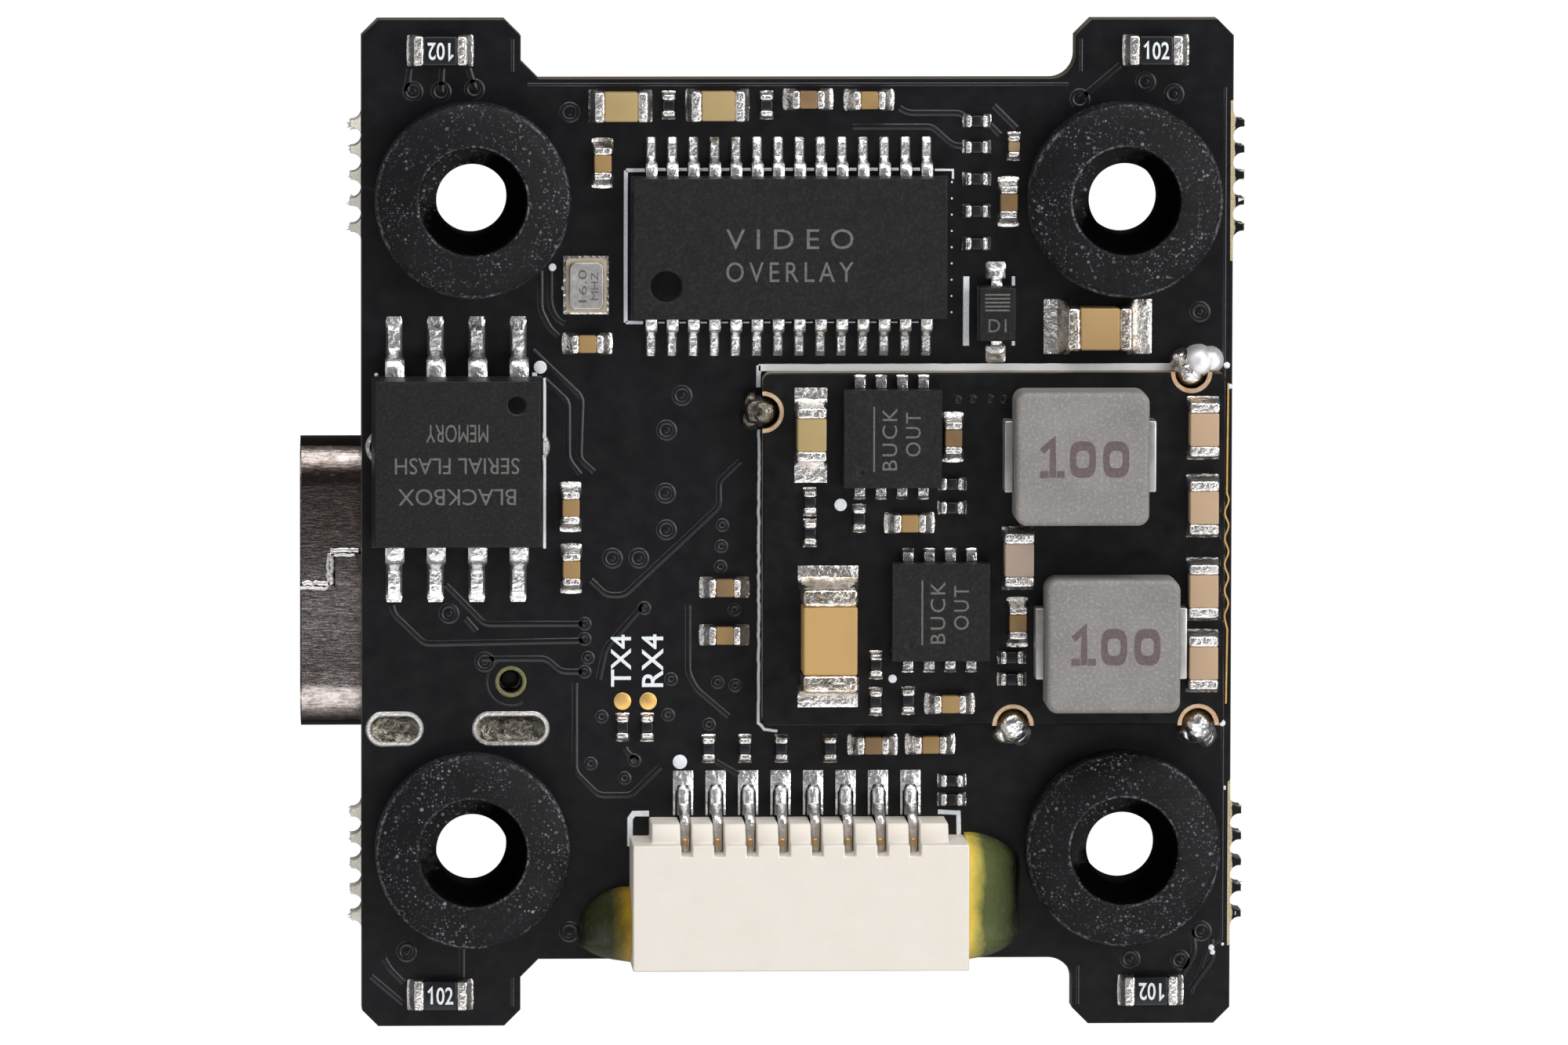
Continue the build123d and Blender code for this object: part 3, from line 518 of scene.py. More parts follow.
def rubber_material():
    """Black rubber with pale specks of dust in patches, painted glints along the flange's two lips, and painted shade
    in the recess apart from painted light on its upper left side.
    """
    n = Nodes("grommet_rubber")
    tone = n.ramp(n.noise(1.1, 4.0), [(0.3, (0.0018, 0.0018, 0.0023)), (0.75, (0.0065, 0.0065, 0.008))])
    patches = n.ramp(n.noise(1.3, 3.0), [(0.42, 0.1), (0.64, 1.0)])
    total = 0.0
    for size, radius, bright in ((0.075, 0.36, 0.4), (0.12, 0.3, 0.7), (0.24, 0.2, 1.0)):
        cell = n.cells(size)
        reach = n.math("MULTIPLY", n.math("POWER", n.ramp(cell.outputs["Color"], [(0.0, 0.0), (1.0, 1.0)]), 2.0), radius * 1.6)
        speck = n.math("MULTIPLY", n.math("LESS_THAN", cell.outputs["Distance"], reach), bright)
        total = n.math("MAXIMUM", total, speck)
    x, y, _ = (n.position()[i] for i in range(3))
    offsets = [n.math("SUBTRACT", v, n.math("MULTIPLY", n.math("SIGN", v), GROMMET_AT * MM)) for v in (x, y)]
    squares = [n.math("MULTIPLY", v, v) for v in offsets]
    radius = n.math("SQRT", n.math("ADD", squares[0], squares[1]))
    # painted glints: broken pale arcs along the recess lip and the flange's outer edge, mixed in with the dust specks
    lips = 0.0
    for at, half in ((1.70, 0.05), (2.93, 0.07)):
        near = n.math("DIVIDE", n.math("ABSOLUTE", n.math("SUBTRACT", radius, at * MM)), half * MM)
        lips = n.math("MAXIMUM", lips, n.math("SUBTRACT", 1.0, near, clamp=True))
    lips = n.math("MULTIPLY", lips, n.ramp(n.noise(0.12, 4.0, 0.7), [(0.45, 0.0), (0.62, 1.0)]))
    lips = n.math("MULTIPLY", lips, n.ramp(n.noise(1.5, 2.0), [(0.45, 0.1), (0.6, 1.0)]))
    # painted shade darkens the recess, apart from patches of painted light on its upper left side
    towards = n.math("MULTIPLY", n.math("SUBTRACT", offsets[1], offsets[0]), 0.22 / MM)
    painted_lit_patches = n.ramp(n.math("ADD", towards, n.math("MULTIPLY", n.noise(0.5, 4.0, 0.7), 0.6)), [(0.4, 0.0), (0.6, 0.9)])
    clear_of_painted_shade = n.math("MAXIMUM", n.math("GREATER_THAN", radius, 1.64 * MM), painted_lit_patches)
    dust_and_glints = n.math("MULTIPLY", n.math("MAXIMUM", n.math("MULTIPLY", total, patches), lips), clear_of_painted_shade)
    tone = n.mix(clear_of_painted_shade, (0.0008, 0.0008, 0.001), tone)
    n.set(Base_Color=n.mix(n.math("MULTIPLY", dust_and_glints, 0.5), tone, (0.44, 0.45, 0.50)))
    n.set(Roughness=n.mix(clear_of_painted_shade, (0.9, 0.9, 0.9), n.ramp(n.noise(0.3, 4.0), [(0.2, 0.5), (0.8, 0.68)])))
    n.set(Specular_IOR_Level=n.mix(clear_of_painted_shade, (0.03, 0.03, 0.03), (0.21, 0.21, 0.21)))
    n.bump(n.noise(0.11, 5.0, 0.7), 0.02, 0.6)
    n.bump(dust_and_glints, 0.008, 0.5)
    return n.material


def plastic_material(name, dark, light, roughness, grain_mm, depth, sheen=0.5, speckle=0.5):
    """Moulded plastic or epoxy: two close tones, a fine grain and uneven gloss."""
    n = Nodes(name)
    grain = n.noise(grain_mm, 5.0, 0.65)
    tone = n.mix(n.noise(grain_mm * 14, 3.0), dark, light)
    bright = tuple(min(1, v * (1 + 0.7 * speckle)) for v in light)
    n.set(Base_Color=n.mix(n.ramp(grain, [(0.5, 0.0), (0.7, speckle)]), tone, bright))
    n.set(Roughness=n.ramp(n.noise(grain_mm * 6, 4.0), [(0.25, roughness - 0.06), (0.75, roughness + 0.08)]))
    n.set(Specular_IOR_Level=sheen)
    n.bump(grain, depth, 0.7)
    return n.material


def metal_material(name, dark, light, roughness, lump_mm, depth, streak=(1, 1, 1), grain=0.002):
    """Plated or soldered metal: tone patches, lumps or streaks and varied gloss."""
    n = Nodes(name)
    lumps = n.noise(lump_mm, 3.0, 0.5, stretch=streak)
    fine = n.noise(lump_mm / 5, 4.0, 0.7, stretch=streak)
    n.set(Metallic=1.0)
    n.set(Base_Color=n.ramp(n.noise(lump_mm * 1.7, 4.0, 0.6), [(0.3, dark), (0.65, light)]))
    n.set(Roughness=n.ramp(fine, [(0.2, max(0.05, roughness - 0.1)), (0.8, roughness + 0.14)]))
    n.bump(lumps, depth, 0.9)
    n.bump(fine, grain, 0.6)
    return n.material


def ceramic_material(name, dark, light, roughness=0.42):
    """Fired ceramic: fine grain, faint bands and pale pits."""
    n = Nodes(name)
    grain = n.noise(0.05, 5.0, 0.7)
    bands = n.noise(0.35, 3.0, 0.5)
    n.set(Base_Color=n.mix(n.math("MULTIPLY", grain, 0.6), n.ramp(bands, [(0.3, dark), (0.7, light)]), light))
    n.set(Roughness=n.ramp(grain, [(0.3, roughness - 0.1), (0.8, roughness + 0.12)]))
    n.bump(grain, 0.006, 0.6)
    return n.material


def capacitor_material(name, dark, light):
    """Fired capacitor ceramic, whose tone changes a little from one component to the next."""
    n = Nodes(name)
    grain = n.noise(0.05, 5.0, 0.7)
    tone = n.ramp(n.noise(1.9, 0.0), [(0.36, dark), (0.52, light)])
    n.set(Base_Color=n.mix(n.math("MULTIPLY", grain, 0.2), tone, n.mix(0.5, tone, (1.0, 0.9, 0.75))))
    n.set(Roughness=n.ramp(grain, [(0.3, 0.4), (0.8, 0.6)]), Specular_IOR_Level=0.3)
    n.bump(grain, 0.006, 0.5)
    return n.material


def shell_material():
    """Drawn nickel-plated steel, scratched across and slightly brown, with painted dark reflections on its steep faces
    and in bands across its upper side.
    """
    n = Nodes("shell_nickel")
    streaks = n.noise(0.07, 4.0, 0.7, stretch=(0.2, 1, 1))
    fine = n.noise(0.04, 3.0, 0.7)
    pits = n.noise(0.16, 5.0, 0.75, stretch=(0.5, 1, 1))
    n.set(Metallic=1.0)
    metal = n.ramp(pits, [(0.36, (0.24, 0.195, 0.175)), (0.5, (0.42, 0.37, 0.35)), (0.62, (0.56, 0.52, 0.49))])
    # painted dark reflection: the steeper faces take a dark brown in place of the metal
    free_of_painted_dark = n.ramp(n.normal()["Z"], [(0.5, 0.0), (0.72, 1.0)])
    band_wobble = n.math("MULTIPLY", n.math("SUBTRACT", n.noise(0.9, 3.0, 0.6, stretch=(0.5, 1, 1)), 0.5), 0.12)
    # painted dark reflections in bands across the upper side, their edges wobbled by noise; the lower part keeps the
    # plain metal
    across = n.math("MULTIPLY", n.math("ADD", n.position()["Y"], 6.44 * MM), 1 / (8.94 * MM))
    stops = [(0.0, 1.0), (0.17, 1.0), (0.21, 0.65), (0.35, 0.95), (0.5, 0.95), (0.58, 0.5), (0.72, 0.3), (0.9, 0.16), (0.95, 1.0)]
    band = n.ramp(n.math("ADD", across, band_wobble), stops)
    free_of_painted_dark = n.math("MULTIPLY", free_of_painted_dark, band)
    upper = n.math("GREATER_THAN", n.position()["Z"], -2.7 * MM)
    free_of_painted_dark = n.math("MAXIMUM", free_of_painted_dark, n.math("SUBTRACT", 1.0, upper))
    n.set(Base_Color=n.mix(free_of_painted_dark, (0.055, 0.034, 0.028), metal))
    n.set(Roughness=n.ramp(streaks, [(0.3, 0.1), (0.75, 0.27)]))
    n.bump(streaks, 0.012, 0.8)
    n.bump(fine, 0.004, 0.5)
    n.bump(pits, 0.012, 0.5)
    return n.material


def adhesive_material():
    """Cured glue: amber against the socket, turning to dark olive where it thins out, with a wet gloss."""
    n = Nodes("adhesive")
    x, _, _ = (n.position()[i] for i in range(3))
    cloud = n.math("MULTIPLY", n.math("SUBTRACT", n.noise(0.7, 3.0, 0.5), 0.5), 0.45 * MM)
    out = n.math("MULTIPLY", n.math("SUBTRACT", n.math("ADD", n.math("ABSOLUTE", x), cloud), 5.15 * MM), 1 / (1.6 * MM))
    right = n.ramp(out, [(0.05, (0.82, 0.58, 0.09)), (0.2, (0.44, 0.38, 0.08)), (0.34, (0.095, 0.115, 0.038)), (0.8, (0.045, 0.055, 0.02)), (1.0, (0.008, 0.009, 0.006))])
    left = n.ramp(out, [(0.05, (0.42, 0.26, 0.02)), (0.2, (0.15, 0.11, 0.015)), (0.36, (0.034, 0.037, 0.012)), (0.85, (0.028, 0.033, 0.013)), (1.0, (0.006, 0.006, 0.004))])
    wisps = n.ramp(n.noise(0.1, 5.0, 0.75, stretch=(1, 0.5, 1)), [(0.55, 0.0), (0.8, 0.16)])
    colour = n.mix(n.math("GREATER_THAN", x, 0.0), left, right)
    n.set(Base_Color=n.mix(wisps, colour, (0.6, 0.62, 0.5)))
    n.set(Roughness=n.ramp(n.noise(0.3, 4.0), [(0.3, 0.2), (0.8, 0.42)]))
    n.set(Subsurface_Weight=0.15, Subsurface_Radius=(0.6, 0.5, 0.1), Subsurface_Scale=0.4 * MM)
    n.set(Coat_Weight=0.4, Coat_Roughness=0.15)
    n.bump(n.noise(0.6, 3.0), 0.02, 0.5)
    n.bump(n.noise(0.08, 4.0), 0.006, 0.5)
    return n.material


def ink_material(name, colour, dirt, roughness=0.6):
    """Printed or engraved marking, slightly patchy."""
    n = Nodes(name)
    n.set(Base_Color=n.ramp(n.noise(0.07, 4.0, 0.7), [(0.3, dirt), (0.6, colour)]))
    n.set(Roughness=n.ramp(n.noise(0.05, 3.0), [(0.2, roughness - 0.1), (0.8, roughness + 0.15)]))
    n.bump(n.noise(0.05, 4.0, 0.7), 0.006, 0.6)
    return n.material


def module_mask_material():
    """The module's darker mask, with a gold-plated wavy break edge on its right side."""
    n = Nodes("module_mask")
    base = n.ramp(n.noise(1.4, 3.0), [(0.3, (0.0022, 0.0024, 0.003)), (0.75, (0.0055, 0.0055, 0.0062))])
    x, _, z = (n.position()[i] for i in range(3))
    rim = n.math("MULTIPLY", n.math("GREATER_THAN", x, 12.93 * MM), n.math("LESS_THAN", z, MODULE * MM * 0.97))
    laminate = n.ramp(n.noise(0.1, 4.0, 0.6, stretch=(1, 1, 5)), [(0.3, (0.10, 0.055, 0.02)), (0.7, (0.26, 0.17, 0.07))])
    flat = n.math("GREATER_THAN", n.math("ABSOLUTE", n.normal()["Z"]), 0.6)
    side = n.mix(rim, laminate, (0.38, 0.25, 0.11))
    n.set(Base_Color=n.mix(flat, side, base))
    n.set(Roughness=n.ramp(n.noise(0.5, 4.0), [(0.25, 0.25), (0.8, 0.4)]), IOR=1.42)
    n.bump(n.noise(0.4, 4.0), 0.008, 0.5)
    n.bump(n.noise(0.05, 3.0, 0.7), 0.004, 0.4)
    return n.material


def build_materials():
    made = {
        "mask": mask_material("solder_mask", (0.0036, 0.0035, 0.0045), (0.115, 0.088, 0.064), torn_edges=True),
        # the relief's slopes take a lighter grey: painted highlights along the track and via edges
        "relief": mask_material("mask_relief", (0.0055, 0.0055, 0.0066), (0.05, 0.05, 0.056)),
        "module": module_mask_material(),
        "rubber": rubber_material(),
        "shell": shell_material(),
        "moulding": plastic_material("usb_moulding", (0.006, 0.006, 0.007), (0.012, 0.012, 0.013), 0.45, 0.06, 0.004),
        "epoxy": plastic_material("mould_compound", (0.0032, 0.0032, 0.0036), (0.0056, 0.0056, 0.006), 0.46, 0.1, 0.02, 0.34, 1.9),
        "ivory": plastic_material("socket_ivory", (0.72, 0.665, 0.59), (0.79, 0.735, 0.66), 0.42, 0.07, 0.003, 0.4, 0.2),
        "button": plastic_material("button_black", (0.010, 0.010, 0.011), (0.02, 0.02, 0.022), 0.42, 0.06, 0.004),
        "core": plastic_material("inductor_core", (0.165, 0.152, 0.146), (0.295, 0.28, 0.265), 0.55, 0.1, 0.03, 0.35, 0.6),
        # the same polished black also draws a painted dark reflection round each socket pin
        "polish": plastic_material("polished_recess_and_painted_reflection", (0.0008, 0.0008, 0.001), (0.0025, 0.0025, 0.003), 0.25, 0.1, 0.003, 0.3),
        "glaze": plastic_material("resistor_glaze", (0.006, 0.006, 0.007), (0.012, 0.012, 0.014), 0.3, 0.05, 0.003),
        "tin": metal_material("tin_plate", (0.70, 0.69, 0.68), (0.97, 0.97, 0.96), 0.3, 0.15, 0.055),
        "solder": metal_material("solder", (0.58, 0.57, 0.56), (0.9, 0.89, 0.88), 0.26, 0.17, 0.05),
        "gold": metal_material("contact_gold", (0.92, 0.52, 0.14), (1.0, 0.70, 0.27), 0.44, 0.2, 0.008),
        "plating": metal_material("half_hole_gold", (0.82, 0.49, 0.27), (1.0, 0.78, 0.54), 0.42, 0.2, 0.014),
        "bright_solder": metal_material("bright_solder", (0.86, 0.85, 0.86), (1.0, 0.99, 1.0), 0.6, 0.6, 0.02),
        # tan-tinted metal for the larger ends: a painted reflection
        "tinted_end_painted_reflection": metal_material("tinted_end_painted_reflection", (0.42, 0.33, 0.23), (0.90, 0.86, 0.80), 0.25, 0.18, 0.06),
        # whiter ink for the module's top line: painted light against the module's shadow
        "line_ink_painted_light": ink_material("line_ink_painted_light", (0.98, 1.0, 1.0), (0.9, 0.93, 0.95)),
        "lid": metal_material("lid_metal", (0.46, 0.44, 0.43), (0.66, 0.64, 0.63), 0.42, 0.5, 0.006),
        "spring": metal_material("dome_steel", (0.5, 0.5, 0.5), (0.72, 0.72, 0.72), 0.25, 0.3, 0.004),
        "rim": metal_material("plated_rim", (0.80, 0.78, 0.76), (1.0, 0.98, 0.96), 0.4, 0.1, 0.03),
        "solder_end": metal_material("solder_end", (0.60, 0.56, 0.52), (0.96, 0.94, 0.92), 0.27, 0.14, 0.06),
        "dull_solder": metal_material("dull_solder", (0.045, 0.04, 0.03), (0.26, 0.24, 0.2), 0.3, 0.16, 0.07),
        "olive": ink_material("bare_laminate_rim", (0.20, 0.195, 0.08), (0.10, 0.095, 0.035), 0.4),
        "package": ceramic_material("package_ceramic", (0.40, 0.30, 0.18), (0.60, 0.52, 0.38)),
        "fibre": ink_material("glass_fibre", (0.82, 0.80, 0.74), (0.52, 0.46, 0.36), 0.5),
        "white_ink": ink_material("white_ink", (0.84, 0.88, 0.92), (0.64, 0.68, 0.72)),
        "grey_ink": ink_material("engraved_grey", (0.15, 0.15, 0.135), (0.07, 0.07, 0.06)),
        "core_ink": ink_material("core_marking", (0.10, 0.07, 0.075), (0.16, 0.12, 0.125)),
        "glue": adhesive_material(),
        "lens": None,
    }
    lens = Nodes("lens_clear")
    lens.set(Base_Color=(0.95, 0.95, 0.9, 1), Transmission_Weight=0.8, IOR=1.5)
    lens.set(Roughness=lens.ramp(lens.noise(0.1, 3.0), [(0.2, 0.08), (0.8, 0.22)]))
    lens.bump(lens.noise(0.1, 4.0), 0.006, 0.5)
    made["lens"] = lens.material
    return made


PAINT = build_materials()


# ---------------------------------------------------------------- boards and grommets


def board():
    soften("main_board", 0.05, PAINT["mask"], segments=2, angle=50)
    soften("bec_board", 0.04, PAINT["module"], segments=1, angle=50)
    splinters()


# The break-off webs: heights of their middles, teeth between the drilled holes, and how far they stick out.
WEB_MIDDLES_Y = (10.7, -10.5)
WEB_TEETH = 5
WEB_PITCH = 0.8
WEB_REACH = 0.34


def splinters():
    """Broken glass fibres on the teeth of the break-off webs."""
    shape = Shape()
    count = 9
    for side in (-1, 1):
        for middle in WEB_MIDDLES_Y:
            for tooth in range(WEB_TEETH):
                y = middle + (tooth - (WEB_TEETH - 1) / 2) * WEB_PITCH
                for k in range(count):
                    key = (side * 3.1 + k * 1.7, y * 2.3, k * 0.9)
                    z = -BOARD * (k + 0.5) / count + wobble(key, 1.0, 0.1)
                    start = Vector((side * (WEB_X + 0.16), y + wobble(key, 0.7, 0.16), z))
                    reach = WEB_REACH - 0.14 + wobble(key, 0.6, 0.16)
                    splinter(shape, start, Vector((side * reach, wobble(key, 0.5, 0.28), wobble(key, 0.4, 0.1))), key)
    make_piece("web_splinters", shape, [PAINT["fibre"]], sharp=40)


def splinter(shape, start, along, key):
    """A crooked tapering sliver with four sides."""
    rings = []
    steps = 4
    for i in range(steps + 1):
        t = i / steps
        bend = Vector((0, wobble((t, key[1], key[0]), 0.5, 0.05), wobble((t, key[0], key[2]), 0.5, 0.05)))
        half = 0.055 * (1 - 0.8 * t)
        centre = start + along * t + bend * t
        rings.append([centre + Vector((0, dy * half, dz * half)) for dy, dz in ((-1, -1), (1, -1), (1, 1), (-1, 1))])
    loft(shape, rings)


GROMMET_PROFILE = (
    # radius, z of the upper half measured from the component face, from the bore outwards
    (1.10, 0.40), (1.12, 0.44), (1.17, 0.455), (1.56, 0.47), (1.60, 0.50), (1.61, 0.56), (1.62, 1.46), (1.64, 1.53),
    (1.67, 1.585), (1.72, 1.60), (1.80, 1.59), (2.40, 1.46), (2.80, 1.34), (2.91, 1.27), (2.975, 1.15), (3.0, 1.0),
    (3.0, 0.12), (2.98, 0.05), (2.93, 0.0), (1.99, 0.0),
)


def grommets():
    shape = Shape()
    lower = [(r, -BOARD - z) for r, z in reversed(GROMMET_PROFILE)]
    profile = list(GROMMET_PROFILE) + lower
    for low, high in islands("vibration_grommets"):
        centre = (low + high) / 2
        lathe(shape, (centre.x, centre.y), profile, 96)
    make_piece("rubber_grommets", shape, [PAINT["rubber"]], ["vibration_grommets"])


# ---------------------------------------------------------------- chip components


# How far each size's solder reaches past the metal end, and its extra width, in millimetres.
PAD_REACH = {"0201": (0.12, 0.02), "0402": (0.28, 0.05), "0603": (0.16, 0.04), "0805": (0.64, 0.18), "1206": (0.56, 0.08)}
RESISTOR_REACH = {"0201": (0.12, 0.02), "0603": (0.2, 0.02)}
# Ceramic tone of each size, and of the peach output capacitors and the pinkish one beside the first inductor.
CERAMIC_TONES = {
    "0201": ((0.20, 0.13, 0.07), (0.30, 0.20, 0.09)),
    "0402": ((0.17, 0.09, 0.028), (0.31, 0.18, 0.052)),
    "0603": ((0.33, 0.22, 0.08), (0.38, 0.27, 0.105)),
    "0805": ((0.38, 0.235, 0.085), (0.42, 0.265, 0.10)),
    "1206": ((0.45, 0.265, 0.085), (0.5, 0.295, 0.095)),
    "peach": ((0.42, 0.285, 0.175), (0.46, 0.315, 0.195)),
    "pink": ((0.35, 0.265, 0.21), (0.38, 0.28, 0.225)),
}
CERAMICS = {key: capacitor_material(f"capacitor_ceramic_{key}", *tones) for key, tones in CERAMIC_TONES.items()}


def ceramic_key(size, centre):
    """Which ceramic a capacitor is made of, by its size and place."""
    if centre.x > 11.5 and -5.0 < centre.y < 4.0:
        return "peach"
    if 6.2 < centre.x < 7.3 and -1.7 < centre.y < -0.3:
        return "pink"
    return size


# Places whose pads are longer than usual: x, y, reach.
LONG_PADS = ((0.36, 3.52, 0.55), (0.36, 2.2, 0.68))


def base_height(low, high):
    """The height of the face a component stands on, and which way it points."""
    if high.z < -BOARD + 0.1:
        return -BOARD, -1
    return (MODULE if low.z > 0.5 else 0.0), 1


def cap_pairs(bodies, ends):
    """Each metal end with the outward direction along its component."""
    for low, high in ends:
        centre = (low + high) / 2
        nearest = min(bodies, key=lambda box: ((box[0] + box[1]) / 2 - centre).length)
        away = centre - (nearest[0] + nearest[1]) / 2
        axis = 0 if abs(away.x) > abs(away.y) else 1
        yield low, high, axis, (1 if away[axis] > 0 else -1)


def solder_wedge(shape, low, high, axis, side, reach, extra, share, seed):
    """A concave solder fillet from a metal end down to the pad's far edge."""
    floor, up = base_height(low, high)
    tall = (high.z - low.z) * share
    across = 1 - axis
    edge = high[axis] if side > 0 else low[axis]
    middle = (low[across] + high[across]) / 2
    half = (high[across] - low[across]) / 2 + extra
    inner = -0.12
    rows = []
    steps_u, steps_v = 8, 9
    for i in range(steps_u + 1):
        u = inner + (reach - inner) * i / steps_u
        row = []
        for j in range(steps_v + 1):
            v = -1 + 2 * j / steps_v
            fall = min(1.0, max(0.0, u) / reach)
            corner = 1 - 0.10 * fall**6 * v * v
            point = [0.0, 0.0, 0.0]
            point[axis] = edge + side * u * corner
            point[across] = middle + half * v * (1 - 0.06 * fall**6)
            crown = (1 - fall) ** 2.3
            shoulder = 1 - max(0.0, abs(v) - 0.72) ** 2 * 9
            lift = 0.022 + tall * crown * shoulder
            lift += (0.02 + 0.05 * tall) * fall * (1 - fall) * 3 * wobble((point[0], point[1], seed), 0.16, 1.0, seed)
            edge_drop = 0.012 if (abs(v) > 0.99 or i == steps_u) else 0.0
            point[2] = floor + up * max(0.006, lift - edge_drop)
            row.append(tuple(point))
        rows.append(row)
    grid_solid(shape, rows, floor - up * 0.01)


def flat_pad(shape, low, high, axis, side, reach, extra, seed):
    """A long tinned pad that shows in front of a metal end."""
    floor, up = base_height(low, high)
    across = 1 - axis
    edge = high[axis] if side > 0 else low[axis]
    rows = []
    steps = 9
    for i in range(steps + 1):
        row = []
        for j in range(steps + 1):
            v = 2 * j / steps - 1
            point = [0.0, 0.0, 0.0]
            point[axis] = edge + side * (reach * (i + 1) / (steps + 1) + 0.02)
            point[across] = (low[across] + high[across]) / 2 + v * ((high[across] - low[across]) / 2 + extra)
            lift = 0.045 + wobble((point[0], point[1], seed), 0.17, 0.03, seed)
            point[2] = floor + up * (0.02 if i == steps or j in (0, steps) else lift)
            row.append(tuple(point))
        rows.append(row)
    grid_solid(shape, rows, floor - up * 0.01, 1)


def chip_components(kind, size, reach_table, paints):
    """Bodies, wrapped metal ends and solder of one size of chip capacitor or resistor."""
    bodies = islands(f"{kind}_bodies_{size}")
    ends = islands(f"{kind}_ends_{size}")
    radius = {"0201": 0.07, "0402": 0.07, "0603": 0.08, "0805": 0.1, "1206": 0.13}[size]
    body_shape = Shape()
    keys = list(CERAMICS)
    for low, high in bodies:
        grow = Vector((0.004, 0.004, 0.0))
        number = keys.index(ceramic_key(size, (low + high) / 2)) if kind == "capacitor" else 0
        rounded_box(body_shape, low - grow, high + grow, radius * 0.6, number)
    node = f"{kind}_bodies_{size}"
    make_piece(f"{kind}_{size}_bodies", body_shape, paints, [node])
    end_shape = Shape()
    seed = 1.0
    reach, extra = reach_table[size]
    for low, high, axis, side in cap_pairs(bodies, ends):
        seed += 0.37
        centre = (low + high) / 2
        longer = [r for x, y, r in LONG_PADS if abs(x - centre.x) < 0.2 and abs(y - centre.y) < 0.2]
        rounded_box(end_shape, low, high, radius, 0, 3, rough=0.02 * (high.z - low.z), seed=seed)
        share = 0.62 if kind == "capacitor" else 0.8
        full = longer[0] if longer else reach
        solder_wedge(end_shape, low, high, axis, side, min(full, 0.3), extra, share, seed)
        if full > 0.3:
            flat_pad(end_shape, low, high, axis, side, full, extra, seed)
    # the 0805 and 1206 ends take a tan tint: a painted reflection in the metal's colour
    tin = PAINT["tinted_end_painted_reflection"] if size in ("0805", "1206") else PAINT["solder_end"]
    make_piece(f"{kind}_{size}_ends", end_shape, [tin, PAINT["solder_end"]], [f"{kind}_ends_{size}"], sharp=50)


def all_chip_components():
    for size in ("0201", "0402", "0603", "0805", "1206"):
        chip_components("capacitor", size, PAD_REACH, list(CERAMICS.values()))
    for size in ("0201", "0603"):
        chip_components("resistor", size, RESISTOR_REACH, [PAINT["glaze"]])


# ---------------------------------------------------------------- leaded packages


def lead_and_pad(shape, low, high, outward, thickness, flare, pad_width, toe, seed):
    """One gull-wing lead with rounded bends, and the solder that wets its foot and pad."""
    axis = 0 if abs(outward[0]) > 0.5 else 1
    side = outward[axis]
    across = 1 - axis
    floor, up = base_height(low, high)
    width = high[across] - low[across]
    middle = (low[across] + high[across]) / 2
    start = low[axis] if side > 0 else high[axis]
    reach = high[axis] - low[axis]
    top = (high.z if up > 0 else low.z) - up * thickness / 2
    foot = floor + up * (0.012 + thickness / 2)

    def at(distance, z):
        point = [0.0, 0.0, z]
        point[axis] = start + side * distance
        point[across] = middle
        return tuple(point)

    corners = [at(-0.02, top), at(0.30 * reach, top), at(0.50 * reach, foot), at(reach, foot)]
    path = smooth_path(corners, thickness * 1.3)
    knee = start + side * 0.42 * reach
    widths = [width * flare if (p[axis] - knee) * side < 0 else width for p in path]
    sideways = [0.0, 0.0, 0.0]
    sideways[across] = 1.0
    sweep(shape, path, widths, thickness, sideways)

    heel_u, toe_u = 0.36 * reach, reach + toe
    rows = []
    steps_u, steps_v = 10, 7
    for i in range(steps_u + 1):
        u = heel_u + (toe_u - heel_u) * i / steps_u
        row = []
        for j in range(steps_v + 1):
            v = -1 + 2 * j / steps_v
            point = [0.0, 0.0, 0.0]
            end = max(0.0, abs(2 * i / steps_u - 1) - 0.8) * 5
            point[axis] = start + side * u
            point[across] = middle + v * pad_width / 2 * (1 - 0.16 * end * end)
            beyond = max(0.0, u - reach)
            aside = max(0.0, abs(point[across] - middle) - width / 2)
            gap = math.hypot(beyond, aside)
            lift = 0.022 + (thickness * 0.85 + 0.02) * math.exp(-gap / 0.1)
            lift += wobble((point[0], point[1], seed), 0.12, 0.018, seed)
            if i in (0, steps_u) or j in (0, steps_v):
                lift = 0.012
            point[2] = floor + up * max(0.008, lift)
            row.append(tuple(point))
        rows.append(row)
    grid_solid(shape, rows, floor - up * 0.01)


# Node of the leads, node of the body, thickness, shoulder flare, pad width factor, solder past the toe.
LEADED = (
    ("osd_chip_leads", "osd_chip_body", 0.13, 1.35, 1.12, 0.16),
    ("flash_chip_leads", "flash_chip_body", 0.2, 1.42, 1.2, 0.42),
    ("processor_leads", "processor_body", 0.13, 1.0, 1.3, 0.22),
    ("regulator_leads", "regulator_body", 0.15, 1.0, 1.4, 0.22),
    ("diode_leads", "diode_body", 0.12, 1.1, 1.9, 0.3),
)


def leads():
    seed = 3.0
    for node, body_node, thickness, flare, pad_factor, toe in LEADED:
        shape = Shape()
        body_low, body_high = (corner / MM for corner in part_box(body_node))
        centre = (body_low + body_high) / 2
        half = (body_high - body_low) / 2
        for low, high in islands(node):
            seed += 0.31
            middle = (low + high) / 2
            away = middle - centre
            axis = 0 if abs(away.x) - half.x > abs(away.y) - half.y else 1
            outward = [0.0, 0.0]
            outward[axis] = 1.0 if away[axis] > 0 else -1.0
            width = (high - low)[1 - axis]
            lead_and_pad(shape, low, high, outward, thickness, flare, width * pad_factor, toe, seed)
        make_piece(node.replace("_leads", "_pins"), shape, [PAINT["tin"]], [node], sharp=40)


